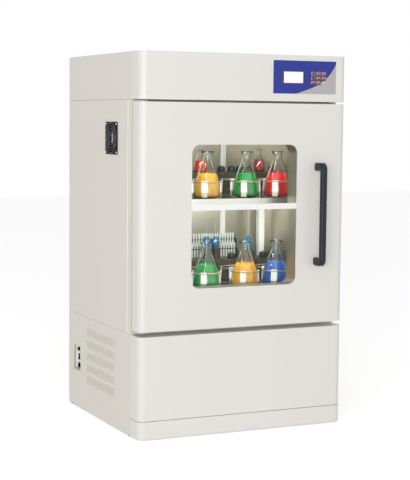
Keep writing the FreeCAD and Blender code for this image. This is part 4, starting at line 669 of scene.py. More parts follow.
def build_flasks(sizes, finishes):
    """Conical flasks in front, and small conical and slim ones behind, each with its dyed liquid."""
    glass = borosilicate_glass("Borosilicate glass")
    colours = {"red": finishes.dye_red, "green": finishes.dye_green, "blue": finishes.dye_blue,
               "amber": finishes.dye_amber, "claret": "#A01420", "teal": "#0E6A96"}
    dyes = {name: dyed_liquid("Dyed water, " + name, linear(colour)) for name, colour in colours.items()}
    foot = Vector((0.0, 0.0, sizes.clamp_sheet + CLEAR))
    for tier, front, front_wide in (("upper", UPPER_FRONT_FLASKS, 1.0),
                                    ("lower", LOWER_FRONT_FLASKS, sizes.lower_flask_scale)):
        platform = tier + "_platform"
        spots = zip(row_places(platform, FRONT_ROW_SHARES, FRONT_ROW_INSET), front)
        for number, (place, dye) in enumerate(spots, start=1):
            add_vessel(tier + "_" + str(number), "conical", (front_wide, 1.0), place + foot, glass, dyes[dye])
        low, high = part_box(platform)
        y = low.y + sizes.step_inset + sizes.step_depth / 2.0
        top = high.z + sizes.step_height + CLEAR
        for number, (x, stand, dye, kind, wide, tall) in enumerate(REAR_FLASKS[tier], start=1):
            place = Vector((x * MM, y, top + stand * MM))
            add_vessel(tier + "_rear_" + str(number), kind, (wide, tall), place, glass, dyes[dye])


def build_steps(sizes):
    """Dark step with knobs and stands at the back of each platform, and a dark sheet that darkens the platform's
    top before it.
    """
    coat = hammered_enamel("Hammered enamel, dark bronze", linear("#1D1A14"), linear("#5E5848"))
    phenolic = moulded_plastic("Moulded phenolic, black", linear("#181A16"), 0.35, 0.4)
    rubber = moulded_rubber("Moulded rubber, dark sheet", linear("#2E2A24"))
    sheet = 2.0 * MM
    sheet_edge = 0.6 * MM
    stand_inset = 30.0 * MM
    knob_inset = 17.0 * MM
    dark_sheet_side = 5.0 * MM
    dark_sheet_front = 4.0 * MM
    dark_sheet_gap = 0.05 * MM
    for tier in ("upper", "lower"):
        low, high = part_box(tier + "_platform")
        front = low.y + sizes.step_inset
        back = front + sizes.step_depth
        half = (high.x - low.x) / 2.0 - sizes.step_side
        base = high.z + CLEAR
        top = high.z + sizes.step_height
        step = bmesh.new()
        add_block(step, (-half, front, base), (half, front + sheet, top - sheet))
        add_block(step, (-half, back - sheet, base), (half, back, top - sheet))
        add_block(step, (-half, front, top - sheet), (half, back, top), sheet_edge)
        for x, stand, _, kind, wide, _ in REAR_FLASKS[tier]:
            if stand > 0.0:
                reach = GLASSWARE[kind][0][FOOT_POINT][0] * wide * MM
                add_block(step, (x * MM - reach, front + stand_inset, top),
                          (x * MM + reach, back - stand_inset, top + stand * MM))
        add_piece(tier + "_step", step, coat, "carriage", smooth=False)
        knobs = bmesh.new()
        for x in STEP_KNOBS[tier]:
            add_turned(knobs, KNOB_DOME, 20, spot_matrix(Vector((x * MM, front + knob_inset, top))))
        closed(knobs)
        add_piece(tier + "_step_knobs", knobs, phenolic, "carriage")
        # A dark sheet on the platform's top before the step, darker than the platform
        dark_sheet = bmesh.new()
        add_block(dark_sheet, (low.x + dark_sheet_side, low.y + dark_sheet_front, high.z + dark_sheet_gap),
                  (high.x - dark_sheet_side, front - CLEAR, high.z + CLEAR))
        add_piece(tier + "_dark_sheet", dark_sheet, rubber, "carriage", smooth=False)


def build_duct_rails():
    """Two upright rails on the air duct behind the platforms."""
    middles = (197.0 * MM, -60.0 * MM)
    half = 12.0 * MM
    depth = 7.0 * MM
    below_roof = 60.0 * MM
    edge = 1.5 * MM
    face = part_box("duct_panel")[0].y
    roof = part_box("chamber_liner")[1].z
    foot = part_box("lower_platform")[1].z
    rails = bmesh.new()
    for x in middles:
        add_block(rails, (x - half, face - depth, foot), (x + half, face - CLEAR, roof - below_roof), edge)
    add_piece("duct_rails", rails, powder_coat("Powder coat, rail white", linear("#FBFAF4")), "cabinet")


def build_tube_rack(sizes):
    """Two rows of test tubes in dark racks with rails, shelves and backs; the rear row stands higher."""
    low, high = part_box("lower_platform")
    behind_step = 9.0 * MM
    row_pitch = 12.0 * MM
    row_lifts = (44.0 * MM, 82.0 * MM)
    half = 5.0 * MM
    rail = 0.9 * MM
    rail_height = 2.4 * MM
    rail_levels = (-2.0 * MM, 30.0 * MM, 74.0 * MM)
    shelf = 1.6 * MM
    back_sheet = 0.6 * MM
    back_height = 86.0 * MM
    post = 2.0 * MM
    post_height = 78.0 * MM
    tube_wall = 0.7 * MM
    first = low.y + sizes.step_inset + sizes.step_depth + behind_step
    pitch = sizes.tube_pitch
    left = -120.0 * MM
    start = left - pitch
    end = left + pitch * TUBE_COLUMNS
    tubes, rack = bmesh.new(), bmesh.new()
    for row, lift in enumerate(row_lifts):
        y = first + row_pitch * row
        base = high.z + CLEAR + lift
        for column in range(TUBE_COLUMNS):
            add_turned(tubes, TEST_TUBE, 10, spot_matrix(Vector((left + pitch * column, y, base))))
        for level in rail_levels:
            z = base + level
            for near in (y - half - rail, y + half):
                add_block(rack, (start, near, z), (end, near + rail, z + rail_height))
        add_block(rack, (start, y - half, base - shelf), (end, y + half, base - CLEAR))
        add_block(rack, (start, y + half, base), (end, y + half + back_sheet, base + back_height))
        for x in (start, end):
            add_block(rack, (x - post, y - half, high.z + CLEAR), (x + post, y + half, base + post_height))
    closed(tubes)
    bmesh.ops.solidify(tubes, geom=tubes.faces, thickness=tube_wall)
    add_piece("test_tubes", tubes, moulded_plastic("Moulded polypropylene, natural", linear("#E4E8E0"), 0.3),
              "carriage")
    add_piece("tube_rack_wires", rack, powder_coat("Powder coat, rack", linear("#2A2620")), "carriage")


def square_plate(bm, half, bore, depth, corner, matrix):
    """A square plate of some depth with rounded corners and a round bore, axis along local Z."""
    inner, outer = (bmesh.ops.create_circle(bm, segments=64, radius=radius, cap_ends=False)["verts"]
                    for radius in (bore, half))
    core = half - corner
    for vert in outer:
        direction = vert.co.normalized()
        spot = direction * (half / max(abs(direction.x), abs(direction.y)))
        if abs(spot.x) > core and abs(spot.y) > core:
            centre = Vector((math.copysign(core, spot.x), math.copysign(core, spot.y), 0.0))
            spot = centre + (spot - centre).normalized() * corner
        vert.co = spot
    bmesh.ops.transform(bm, matrix=matrix, verts=inner + outer)
    draw_out_loops(bm, inner + outer, matrix.to_3x3() @ Vector((0.0, 0.0, depth)))


def build_side_fan(sizes):
    """Axial fan: rounded housing, wire guard with a strut and screws, and a bladed rotor."""
    low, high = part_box("side_fan_frame")
    guard_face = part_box("side_fan_guard")[0].x
    middle = (low + high) / 2.0
    half = (high.y - low.y) / 2.0
    corner = 5.0 * MM
    spoke_reach = half - 9.0 * MM
    spoke_centre = spoke_reach * 0.72
    screw_place = half - 7.5 * MM
    ring_shares = (0.28, 0.46, 0.64, 0.82, 1.0)
    strut_sheet = 1.2 * MM
    strut_edge = 0.4 * MM
    inward = Matrix.Rotation(QUARTER, 4, "Y")
    face = Matrix.Translation((low.x, middle.y, middle.z)) @ inward
    housing = bmesh.new()
    square_plate(housing, half, sizes.fan_bore, high.x - low.x, corner, face)
    closed(housing)
    add_piece("fan_housing", housing, node_finish("side_fan_frame"), "cabinet",
              ("side_fan_frame",))
    room = (low.x - guard_face) / 2.0
    wire = room * 0.8
    plane = Matrix.Translation((-room, 0.0, 0.0)) @ face
    guard = bmesh.new()
    for share in ring_shares:
        add_ring(guard, sizes.fan_bore * share, wire, 56, plane)
    for eighths in (1.0, -1.0, 3.0, -3.0):
        spoke = plane @ Matrix.Rotation(TURN / 8.0 * eighths, 4, "Z")
        bmesh.ops.create_cone(guard, cap_ends=True, segments=8, radius1=wire, radius2=wire, depth=spoke_reach,
                              matrix=spoke @ Matrix.Translation((spoke_centre, 0.0, 0.0)) @ inward)
    closed(guard)
    add_piece("fan_guard_wires", guard, enamelled_wire("Enamelled guard wire", linear("#6A6A66")), "cabinet",
              ("side_fan_guard",))
    strut = bmesh.new()
    strut_face = guard_face + room * 0.5
    strut_low = (strut_face, middle.y - 20.0 * MM, middle.z - 18.0 * MM)
    strut_high = (strut_face + strut_sheet, middle.y - 12.0 * MM, middle.z + 20.0 * MM)
    add_block(strut, strut_low, strut_high, strut_edge)
    add_piece("fan_guard_strut", strut, turned_metal("Zinc-plated strip", linear("#B8B6AC"), 0.5), "cabinet")
    screws = bmesh.new()
    outward = Matrix.Rotation(-QUARTER, 4, "Y")
    for y in (-screw_place, screw_place):
        for z in (-screw_place, screw_place):
            spot = Matrix.Translation((low.x, middle.y + y, middle.z + z))
            add_turned(screws, SCREW_DOME, 16, spot @ outward)
    closed(screws)
    add_piece("fan_screws", screws, bright_stainless("Nickel-plated screws", linear("#D9DADB")), "cabinet")
    build_fan_rotor(middle)


def build_fan_rotor(middle):
    """Hub with a domed cap and swept, pitched blades."""
    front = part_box("side_fan_impeller")[0].x + 1.0 * MM
    root = 19.0 * MM
    span = 32.5 * MM
    blades = 7
    blade_steps = 6
    sweep = 0.34
    half_chord = 0.30
    blade_front = 3.0 * MM
    blade_back = 16.0 * MM
    blade_sheet = 1.4 * MM
    rotor = bmesh.new()
    face = Matrix.Translation((front, middle.y, middle.z)) @ Matrix.Rotation(QUARTER, 4, "Y")
    add_turned(rotor, FAN_HUB, 40, face)
    closed(rotor)
    for blade in range(blades):
        rows = []
        for step in range(blade_steps + 1):
            share = step / blade_steps
            radius = root + span * share
            angle = TURN / blades * blade + sweep * share
            rows.append([rotor.verts.new(face @ Vector((radius * math.cos(turned), radius * math.sin(turned), z)))
                         for turned, z in ((angle - half_chord, blade_front), (angle + half_chord, blade_back))])
        faces = [rotor.faces.new((first[0], first[1], second[1], second[0]))
                 for first, second in zip(rows, rows[1:])]
        bmesh.ops.solidify(rotor, geom=faces, thickness=blade_sheet)
    bmesh.ops.recalc_face_normals(rotor, faces=rotor.faces)
    add_piece("fan_rotor", rotor, node_finish("side_fan_impeller"), "side_fan_impeller",
              ("side_fan_impeller",))


def add_print(bm, x0, x1, z0, z1, depths):
    """A flat bar on an upright face, between two depths."""
    add_block(bm, (x0, depths[0], z0), (x1, depths[1], z1))


def add_frame(bm, x0, x1, z0, z1, side, rail, depths):
    """Four bars that make an upright rectangular frame, its rails between its sides."""
    add_print(bm, x0, x0 + side, z0, z1, depths)
    add_print(bm, x1 - side, x1, z0, z1, depths)
    add_print(bm, x0 + side, x1 - side, z0, z0 + rail, depths)
    add_print(bm, x0 + side, x1 - side, z1 - rail, z1, depths)


def build_display():
    """Dark printed edges beside and above the display, and a red hairline below and left of it."""
    low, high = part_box("display_window")
    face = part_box("control_panel")[0].y
    side = 4.2 * MM
    line = 1.3 * MM
    edge_ink = 0.25 * MM
    line_ink = 0.2 * MM
    left = low.x - side
    edges = bmesh.new()
    depths = (face - edge_ink, face - INK_GAP)
    add_print(edges, left, low.x + CLEAR, low.z, high.z, depths)
    add_print(edges, high.x - CLEAR, high.x + side, low.z, high.z, depths)
    add_print(edges, left, high.x + side, high.z, high.z + line, depths)
    add_piece("display_edges", edges, flat_print("Screen ink, charcoal", linear("#15121C")), "cabinet",
              smooth=False)
    hair = bmesh.new()
    depths = (face - line_ink, face - INK_GAP)
    add_print(hair, left - line, left, low.z - line * 2.0, high.z, depths)
    add_print(hair, left, high.x + CLEAR, low.z - line * 2.0, low.z - line * 0.5, depths)
    add_piece("display_hairline", hair, flat_print("Screen ink, crimson", linear("#A8203C")), "cabinet",
              smooth=False)


def build_key_signs():
    """A plain sign on each key, with a red rim above and beside it and a black line of painted shadow below it.
    """
    # The black ink prints the signs and also paints the shadow lines under the keys
    ink = flat_print("Screen ink, black", linear("#0E0C0E"))
    red = flat_print("Screen ink, red", linear("#C02C42"))
    orange = flat_print("Screen ink, orange", linear("#E0A064"))
    inset = 0.7 * MM
    border_side = 1.2 * MM
    border_rail = 1.0 * MM
    near = 0.4 * MM
    far = 1.7 * MM
    line_foot = 2.6 * MM
    rim_ink = 0.15 * MM
    sign_ink = 0.12 * MM
    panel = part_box("control_panel")[0].y
    on_panel = (panel - rim_ink, panel - INK_GAP)
    rims, shadow_lines = bmesh.new(), bmesh.new()
    for number, (sign, size) in KEY_SIGNS.items():
        name = "key_" + str(number)
        low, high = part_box(name)
        on_key = (low.y - sign_ink, low.y)
        bm = bmesh.new()
        add_sign(bm, sign, size * MM, (low.x + high.x) / 2.0, (low.z + high.z) / 2.0, on_key)
        if sign != "bars":
            add_frame(bm, low.x + inset, high.x - inset, low.z + inset, high.z - inset, border_side, border_rail,
                      on_key)
            add_print(rims, low.x - far, low.x - near, low.z, high.z, on_panel)
            add_print(rims, high.x + near, high.x + far, low.z, high.z, on_panel)
            add_print(rims, low.x - far, high.x + far, high.z + near, high.z + far, on_panel)
            # Painted shadow: a black line in the gap under the key
            add_print(shadow_lines, low.x - far, high.x + far, low.z - line_foot, low.z - near, on_panel)
        add_piece(name + "_sign", bm, orange if sign == "bars" else ink, name, smooth=False)
    add_piece("key_rims", rims, red, "cabinet", smooth=False)
    add_piece("key_painted_shadows", shadow_lines, ink, "cabinet", smooth=False)


def add_sign(bm, sign, size, x, z, depths):
    """Two bars, or one flat sign with a bar under it, on a key's face about a middle."""
    thin = 1.3 * MM
    wide = 1.8
    raised = z + 2.0 * MM
    if sign == "bars":
        half = 6.6 * MM
        for foot, top in ((2.2 * MM, 4.8 * MM), (-5.2 * MM, -0.6 * MM)):
            add_print(bm, x - half, x + half, z + foot, z + top, depths)
        return
    if sign == "square":
        add_frame(bm, x - size * wide, x + size * wide, raised - size, raised + size, thin, thin, depths)
    else:
        depth = depths[1] - depths[0]
        matrix = (Matrix.Translation((x, (depths[0] + depths[1]) / 2.0, raised))
                  @ Matrix.Diagonal((wide, 1.0, 1.0, 1.0))
                  @ Matrix.Rotation(-SIGN_TURNS.get(sign, 0.0), 4, "Y") @ Matrix.Rotation(QUARTER, 4, "X"))
        if SIGN_SIDES[sign] == 3:
            matrix = matrix @ Matrix.Rotation(QUARTER, 4, "Z")
        if sign == "ring":
            flat_ring(bm, size, size - thin, depth, matrix)
        else:
            bmesh.ops.create_cone(bm, cap_ends=True, segments=SIGN_SIDES[sign], radius1=size, radius2=size,
                                  depth=depth, matrix=matrix)
    half = 6.1 * MM
    add_print(bm, x - half, x + half, z - 4.3 * MM, z - 1.4 * MM, depths)


def flat_ring(bm, outer, inner, depth, matrix):
    """A flat ring between two circles, its depth to both sides of the matrix's own plane."""
    below = matrix @ Matrix.Translation((0.0, 0.0, -depth / 2.0))
    verts = []
    for radius in (outer, inner):
        verts += bmesh.ops.create_circle(bm, segments=SIGN_SIDES["ring"], radius=radius, cap_ends=False,
                                         matrix=below)["verts"]
    draw_out_loops(bm, verts, matrix.to_3x3() @ Vector((0.0, 0.0, depth)))


def build_louvre_shade(sizes):
    """Pale plates of painted shade at the open side of each pressed louvre."""
    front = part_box("plinth_cover")[0].y
    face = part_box("lower_front_cover")[0].x
    rise = sizes.louvre_rise * 0.9
    end = 1.5 * MM
    plate_front = 0.6 * MM
    plate_back = 0.05 * MM
    plates = bmesh.new()
    for row in range(LOUVRE_ROWS):
        z = sizes.louvre_bottom + sizes.louvre_row_pitch * row
        for column in range(LOUVRE_COLUMNS):
            y = front + sizes.louvre_front + sizes.louvre_pitch * column
            add_block(plates, (face - rise, y - plate_front, z + end),
                      (face, y - plate_back, z + sizes.louvre_height - end))
    # Painted shade: plates a little darker than the side sheets, where the louvres' openings would be
    add_piece("louvre_painted_shade", plates, moulded_plastic("Painted shade inside the louvres", linear("#D2CEC6"), 0.9, 0.1),
              "cabinet", smooth=False)


def build_inlet_shade():
    """Sand-coloured plates of painted shade: one on the rear wall of the inlet's recess and one that climbs on
    its floor.
    """
    low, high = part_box("inlet_cup")
    wall = 6.6 * MM
    sheet = 0.4 * MM
    shade_depth = 10.0 * MM
    floor_depth = 14.6 * MM
    floor_front = 0.8 * MM
    floor_back = 6.5 * MM
    rear = high.y - wall - sheet
    recess_shade = bmesh.new()
    add_block(recess_shade, (low.x, rear, low.z + wall), (low.x + shade_depth, high.y - wall, high.z - wall))
    add_ramp(recess_shade, (low.x, low.y + wall, low.z + wall + floor_front),
             (low.x + floor_depth, rear, low.z + wall + floor_back), sheet)
    # Painted shade of the recess's rear wall and floor
    add_piece("inlet_painted_shade", recess_shade, moulded_plastic("Painted shade, sand", linear("#CFC6B6"), 0.6, 0.1),
              "cabinet", smooth=False)


def add_ramp(bm, low, high, depth):
    """A thin plate that climbs from the low corner to the high one along X."""
    corners = ((low[0], low[1], low[2]), (low[0], high[1], low[2]),
               (high[0], high[1], high[2]), (high[0], low[1], high[2]))
    face = bm.faces.new([bm.verts.new(corner) for corner in corners])
    draw_out(bm, [face], (0.0, 0.0, depth))
    bmesh.ops.recalc_face_normals(bm, faces=bm.faces)


def build_frame_highlight():
    """A round bead behind the front frame's left edge, coated brighter than the sheets: a painted highlight along
    that edge.
    """
    low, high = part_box("front_frame")
    radius = 4.5 * MM
    height = high.z - low.z - CLEAR * 2.0
    middle = Vector((low.x + 3.2 * MM, high.y - 5.0 * MM, low.z + CLEAR + height / 2.0))
    bead = bmesh.new()
    bmesh.ops.create_cone(bead, cap_ends=True, segments=24, radius1=radius, radius2=radius, depth=height,
                          matrix=Matrix.Translation(middle))
    # Its near-white coat paints the edge's highlight line
    add_piece("frame_highlight_bead", bead, powder_coat("Powder coat, painted highlight", linear("#FBF9F4")), "cabinet")


def build_stage(settings):
    """Floor, white world, soft lamps and the camera."""
    add_floor(settings)
    add_world(settings)
    add_lamps(settings)
    add_camera(settings)
    bpy.context.scene.view_settings.view_transform = "Standard"


def add_floor(settings):
    """A wide sheet of white paper under the feet."""
    floor = bmesh.new()
    bmesh.ops.create_grid(floor, x_segments=1, y_segments=1, size=settings.floor_size)
    mesh = bpy.data.meshes.new("stage_floor")
    floor.to_mesh(mesh)
    floor.free()
    mesh.materials.append(paper_sweep("Paper sweep, white"))
    ground = bpy.data.objects.new("stage_floor", mesh)
    bpy.context.scene.collection.objects.link(ground)


def add_world(settings):
    """White surroundings that light the object softly and look plain white."""
    world = bpy.data.worlds.new("Studio white")
    world.use_nodes = True
    tree = world.node_tree
    tree.nodes.clear()
    soft = add_node(tree, "ShaderNodeBackground", {
        "Color": linear("#FFFFFF"), "Strength": settings.world_light})
    white = add_node(tree, "ShaderNodeBackground", {"Color": linear("#FFFFFF"), "Strength": 1.0})
    mixed = add_node(tree, "ShaderNodeMixShader", {
        0: seen_directly(tree), 1: soft.outputs["Background"], 2: white.outputs["Background"]})
    add_node(tree, "ShaderNodeOutputWorld", {"Surface": mixed.outputs["Shader"]})
    bpy.context.scene.world = world


def add_lamps(settings):
    """One soft box left of the camera, a lamp over each tier and two at the window."""
    add_lamp("key_light", Vector((-3.5, -5.7, 0.8)), Vector((0.0, 0.0, 0.7)), (5.0, 4.0), settings.key_light)
    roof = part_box("chamber_liner")[1].z
    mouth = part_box("front_frame")[1].y
    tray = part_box("upper_platform")[0]
    aim = Vector((0.0, 0.3, -0.3))
    tier_box = (620.0 * MM, 30.0 * MM)
    strip_width = 14.0 * MM
    for name, y, z, watts in (("upper_tier_light", mouth + 4.0 * MM, roof - 20.0 * MM, settings.upper_light),
                              ("lower_tier_light", tray.y + 30.0 * MM, tray.z - 2.0 * MM, settings.lower_light)):
        place = Vector((0.0, y, z))
        add_lamp(name, place, place + aim, tier_box, watts)
    low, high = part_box("window_glass")
    height = high.z - low.z
    pane = Vector(((low.x + high.x) / 2.0, high.y + 2.0 * MM, (low.z + high.z) / 2.0))
    add_lamp("window_light", pane, pane + Y_AXIS, (high.x - low.x, height), settings.window_light)
    strip = Vector((low.x + 60.0 * MM, high.y + 3.0 * MM, pane.z))
    add_lamp("strip_light", strip, strip + Y_AXIS, (strip_width, height), settings.strip_light)


def add_lamp(name, place, target, size, watts):
    """A soft box of some width and height that faces a target and stays out of sight."""
    light = bpy.data.lights.new(name, "AREA")
    light.shape = "RECTANGLE"
    light.size, light.size_y = size
    light.energy = watts
    lamp = bpy.data.objects.new(name, light)
    lamp.location = place
    lamp.rotation_euler = (target - place).to_track_quat("-Z", "Y").to_euler()
    lamp.visible_camera = False
    bpy.context.scene.collection.objects.link(lamp)


def add_camera(settings):
    """Camera left of the door, tilted a little down and rolled."""
    data = bpy.data.cameras.new("camera")
    data.sensor_width = 36.0
    data.lens = settings.lens
    data.clip_end = 60.0
    camera = bpy.data.objects.new("camera", data)
    yaw, pitch, roll = settings.camera_yaw, settings.camera_pitch, settings.camera_roll
    forward = Vector((math.sin(yaw) * math.cos(pitch), math.cos(yaw) * math.cos(pitch), -math.sin(pitch)))
    level = Vector((math.cos(yaw), -math.sin(yaw), 0.0))
    upright = level.cross(forward)
    right = level * math.cos(roll) + upright * math.sin(roll)
    up = upright * math.cos(roll) - level * math.sin(roll)
    turn = Matrix((right, up, -forward)).transposed().to_4x4()
    camera.matrix_world = Matrix.Translation(settings.camera_place) @ turn
    bpy.context.scene.collection.objects.link(camera)
    bpy.context.scene.camera = camera


class ShakerFinishes(bpy.types.PropertyGroup):
    """Colours that a user would change."""
    cover_colour: bpy.props.StringProperty(
        name="Cover colour", description="sRGB hex of the front covers' powder coat", default="#ECE9E4")
    # A darker, warmer copy of the cover colour: painted shade on the sides
    side_shade_colour: bpy.props.StringProperty(
        name="Side shade colour", description="sRGB hex of the side sheets' powder coat", default="#E8E3DA")
    liner_colour: bpy.props.StringProperty(
        name="Liner colour", description="sRGB hex of the stainless liner", default="#C4BFB0")
    bar_colour: bpy.props.StringProperty(
        name="Crossbar colour", description="sRGB hex of the window crossbar", default="#FDFDFC")
    handle_colour: bpy.props.StringProperty(
        name="Handle colour", description="sRGB hex of the door handle", default="#171F28")
    panel_blue: bpy.props.StringProperty(
        name="Panel blue", description="sRGB hex of the panel's main field", default="#35429A")
    panel_grey: bpy.props.StringProperty(
        name="Panel grey", description="sRGB hex of the panel's corner", default="#B9B9B9")
    dye_red: bpy.props.StringProperty(
        name="Red dye", description="sRGB hex of the red liquid", default="#E81C1C")
    dye_green: bpy.props.StringProperty(
        name="Green dye", description="sRGB hex of the green liquid", default="#08963C")
    dye_blue: bpy.props.StringProperty(
        name="Blue dye", description="sRGB hex of the blue liquid", default="#0A66C4")
    dye_amber: bpy.props.StringProperty(
        name="Amber dye", description="sRGB hex of the amber liquid", default="#F5B010")


class ShakerSizes(bpy.types.PropertyGroup):
    """Sizes of the pieces that the frame holds only in plain form."""
    handle_bar: bpy.props.FloatProperty(
        name="Handle bar", description="Depth of the handle bar from front to back", default=22.0 * MM,
        unit="LENGTH")
    handle_bend: bpy.props.FloatProperty(
        name="Handle bend", description="Outer radius of the handle's corners", default=26.0 * MM, unit="LENGTH")
    handle_foot: bpy.props.FloatProperty(
        name="Handle foot", description="Height of each foot on the door", default=30.0 * MM, unit="LENGTH")
    handle_edge: bpy.props.FloatProperty(
        name="Handle edge", description="Rounding of the handle's long edges", default=7.0 * MM, unit="LENGTH")
    clamp_reach: bpy.props.FloatProperty(
        name="Clamp reach", description="From a clamp's middle to a finger's outside", default=56.0 * MM,
        unit="LENGTH")
    clamp_lean: bpy.props.FloatProperty(
        name="Clamp lean", description="How far a finger leans in at its tip", default=3.5 * MM, unit="LENGTH")
    clamp_height: bpy.props.FloatProperty(
        name="Clamp height", description="Height of a finger's tip", default=66.0 * MM, unit="LENGTH")
    clamp_width: bpy.props.FloatProperty(
        name="Clamp width", description="Width of a clamp's strip", default=21.0 * MM, unit="LENGTH")
    clamp_sheet: bpy.props.FloatProperty(
        name="Clamp sheet", description="Thickness of a clamp's strip", default=1.5 * MM, unit="LENGTH")
    sleeve_foot: bpy.props.FloatProperty(
        name="Sleeve foot", description="Height at which a finger's white sleeve starts", default=23.0 * MM,
        unit="LENGTH")
    spring_height: bpy.props.FloatProperty(
        name="Spring height", description="Height of a spring loop", default=62.0 * MM, unit="LENGTH")
    spring_radius: bpy.props.FloatProperty(
        name="Spring radius", description="Radius of a spring loop", default=56.2 * MM, unit="LENGTH")
    spring_wire: bpy.props.FloatProperty(
        name="Spring wire", description="Outer diameter of a spring loop's coil", default=4.6 * MM,
        unit="LENGTH")
    fan_bore: bpy.props.FloatProperty(
        name="Fan bore", description="Radius of the side fan's bore", default=55.0 * MM, unit="LENGTH")
    lower_flask_scale: bpy.props.FloatProperty(
        name="Lower flasks", description="Width of the lower tier's flasks against the upper ones", default=1.05)
    step_inset: bpy.props.FloatProperty(
        name="Step inset", description="From the platform's front edge to the step behind the clamps",
        default=257.0 * MM, unit="LENGTH")
    step_depth: bpy.props.FloatProperty(
        name="Step depth", description="Depth of the step from front to back", default=100.0 * MM, unit="LENGTH")
    step_height: bpy.props.FloatProperty(
        name="Step height", description="Height of the step above its platform", default=88.0 * MM,
        unit="LENGTH")
    step_side: bpy.props.FloatProperty(
        name="Step side gap", description="From the platform's side edge to the step", default=6.0 * MM,
        unit="LENGTH")
    tube_pitch: bpy.props.FloatProperty(
        name="Tube pitch", description="From one test tube to the next", default=11.8 * MM, unit="LENGTH")
    louvre_front: bpy.props.FloatProperty(
        name="Louvre field", description="From the front face to the first louvre", default=246.0 * MM,
        unit="LENGTH")
    louvre_bottom: bpy.props.FloatProperty(
        name="Louvre bottom", description="Height of the lowest louvres above the floor", default=117.0 * MM,
        unit="LENGTH")
    louvre_pitch: bpy.props.FloatProperty(
        name="Louvre pitch", description="From one louvre to the next", default=21.5 * MM, unit="LENGTH")
    louvre_row_pitch: bpy.props.FloatProperty(
        name="Louvre row pitch", description="From one row of louvres to the next", default=47.0 * MM,
        unit="LENGTH")
    louvre_height: bpy.props.FloatProperty(
        name="Louvre height", description="Height of one louvre", default=31.0 * MM, unit="LENGTH")
    louvre_rise: bpy.props.FloatProperty(
        name="Louvre rise", description="How far a louvre stands out", default=4.0 * MM, unit="LENGTH")


class ShakerStage(bpy.types.PropertyGroup):
    """Camera and light."""
    lens: bpy.props.FloatProperty(name="Lens", description="Focal length in millimetres", default=101.85)
    camera_place: bpy.props.FloatVectorProperty(
        name="Camera place", description="Where the camera stands", default=(-2.245, -4.797, 1.166),
        subtype="TRANSLATION")
    camera_yaw: bpy.props.FloatProperty(
        name="Camera yaw", description="Turn to the right of straight ahead", default=math.radians(25.06),
        subtype="ANGLE")
    camera_pitch: bpy.props.FloatProperty(
        name="Camera pitch", description="Tilt below level", default=math.radians(5.15), subtype="ANGLE")
    camera_roll: bpy.props.FloatProperty(
        name="Camera roll", description="Roll of the camera", default=math.radians(0.57), subtype="ANGLE")
    world_light: bpy.props.FloatProperty(
        name="World light", description="Strength of the white surroundings", default=0.58)
    key_light: bpy.props.FloatProperty(
        name="Key light", description="Power of the soft box beside the camera in watts", default=262.0)
    upper_light: bpy.props.FloatProperty(
        name="Upper light", description="Power of the lamp over the upper platform in watts", default=1.4)
    lower_light: bpy.props.FloatProperty(
        name="Lower light", description="Power of the lamp over the lower platform in watts", default=1.6)
    window_light: bpy.props.FloatProperty(
        name="Window light", description="Power of the daylight through the window in watts", default=0.6)
    strip_light: bpy.props.FloatProperty(
        name="Strip light", description="Power of the narrow lamp that the glassware mirrors, in watts",
        default=0.3)
    floor_size: bpy.props.FloatProperty(
        name="Floor size", description="Half the floor's width", default=14.0, unit="LENGTH")


class SHAKER_OT_finish_frame(bpy.types.Operator):
    """Give every frame node its finish"""
    bl_idname = "shaker.finish_frame"
    bl_label = "Finish Frame"

    def execute(self, context):
        paint_nodes(context.scene.shaker_finishes)
        return {"FINISHED"}


class SHAKER_OT_add_handle(bpy.types.Operator):
    """Add the door's bow handle"""
    bl_idname = "shaker.add_handle"
    bl_label = "Add Door Handle"

    def execute(self, context):
        build_handle(context.scene.shaker_sizes, context.scene.shaker_finishes)
        return {"FINISHED"}


class SHAKER_OT_add_clamps(bpy.types.Operator):
    """Add the flask clamps with their sleeves and springs"""
    bl_idname = "shaker.add_clamps"
    bl_label = "Add Flask Clamps"

    def execute(self, context):
        build_clamps(context.scene.shaker_sizes)
        return {"FINISHED"}


class SHAKER_OT_add_flasks(bpy.types.Operator):
    """Add the flasks and their liquids"""
    bl_idname = "shaker.add_flasks"
    bl_label = "Add Flasks"

    def execute(self, context):
        build_flasks(context.scene.shaker_sizes, context.scene.shaker_finishes)
        return {"FINISHED"}


class SHAKER_OT_add_steps(bpy.types.Operator):
    """Add the platforms' steps, knobs and mats, and the air duct's rails"""
    bl_idname = "shaker.add_steps"
    bl_label = "Add Rear Steps"

    def execute(self, context):
        build_steps(context.scene.shaker_sizes)
        build_duct_rails()
        return {"FINISHED"}


class SHAKER_OT_add_tube_rack(bpy.types.Operator):
    """Add the rack of test tubes"""
    bl_idname = "shaker.add_tube_rack"
    bl_label = "Add Tube Rack"

    def execute(self, context):
        build_tube_rack(context.scene.shaker_sizes)
        return {"FINISHED"}


class SHAKER_OT_add_side_fan(bpy.types.Operator):
    """Add the side fan's housing, guard, strut, screws and rotor"""
    bl_idname = "shaker.add_side_fan"
    bl_label = "Add Side Fan"

    def execute(self, context):
        build_side_fan(context.scene.shaker_sizes)
        return {"FINISHED"}


class SHAKER_OT_add_panel_print(bpy.types.Operator):
    """Add the display's printed edges, the keys' signs and rims, and the painted shadow lines under the keys"""
    bl_idname = "shaker.add_panel_print"
    bl_label = "Add Panel Print"

    def execute(self, context):
        build_display()
        build_key_signs()
        return {"FINISHED"}


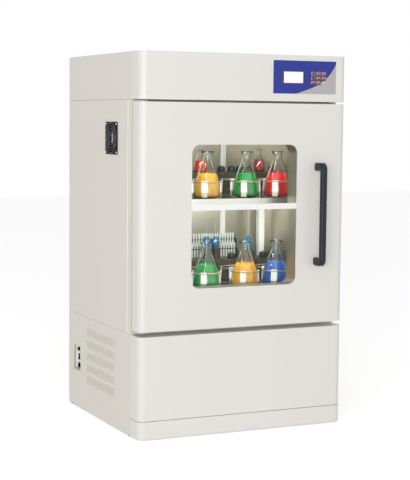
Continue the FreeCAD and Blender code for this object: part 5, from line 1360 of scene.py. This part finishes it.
class SHAKER_OT_add_side_trim(bpy.types.Operator):
    """Add the painted shade in the louvres and in the inlet's recess, and the front frame's bead of painted
    highlight
    """
    bl_idname = "shaker.add_side_trim"
    bl_label = "Add Side Trim"

    def execute(self, context):
        build_louvre_shade(context.scene.shaker_sizes)
        build_inlet_shade()
        build_frame_highlight()
        return {"FINISHED"}


class SHAKER_OT_add_stage(bpy.types.Operator):
    """Add the floor, the light and the camera"""
    bl_idname = "shaker.add_stage"
    bl_label = "Add Stage"

    def execute(self, context):
        build_stage(context.scene.shaker_stage)
        return {"FINISHED"}


class SHAKER_PT_panel(bpy.types.Panel):
    """Lists the pieces in the sidebar"""
    bl_label = "Incubator Shaker"
    bl_idname = "SHAKER_PT_panel"
    bl_space_type = "VIEW_3D"
    bl_region_type = "UI"
    bl_category = "Shaker"

    def draw(self, context):
        for step in STEPS:
            self.layout.operator(step.bl_idname)


STEPS = (
    SHAKER_OT_finish_frame,
    SHAKER_OT_add_handle,
    SHAKER_OT_add_clamps,
    SHAKER_OT_add_flasks,
    SHAKER_OT_add_steps,
    SHAKER_OT_add_tube_rack,
    SHAKER_OT_add_side_fan,
    SHAKER_OT_add_panel_print,
    SHAKER_OT_add_side_trim,
    SHAKER_OT_add_stage,
)
CLASSES = (ShakerFinishes, ShakerSizes, ShakerStage) + STEPS + (SHAKER_PT_panel,)


def register():
    for kind in CLASSES:
        bpy.utils.register_class(kind)
    bpy.types.Scene.shaker_finishes = bpy.props.PointerProperty(type=ShakerFinishes)
    bpy.types.Scene.shaker_sizes = bpy.props.PointerProperty(type=ShakerSizes)
    bpy.types.Scene.shaker_stage = bpy.props.PointerProperty(type=ShakerStage)


def unregister():
    del bpy.types.Scene.shaker_stage
    del bpy.types.Scene.shaker_sizes
    del bpy.types.Scene.shaker_finishes
    for kind in reversed(CLASSES):
        bpy.utils.unregister_class(kind)


def main():
    register()
    bpy.ops.shaker.finish_frame()
    bpy.ops.shaker.add_handle()
    bpy.ops.shaker.add_clamps()
    bpy.ops.shaker.add_flasks()
    bpy.ops.shaker.add_steps()
    bpy.ops.shaker.add_tube_rack()
    bpy.ops.shaker.add_side_fan()
    bpy.ops.shaker.add_panel_print()
    bpy.ops.shaker.add_side_trim()
    bpy.ops.shaker.add_stage()


if __name__ == "__main__":
    main()
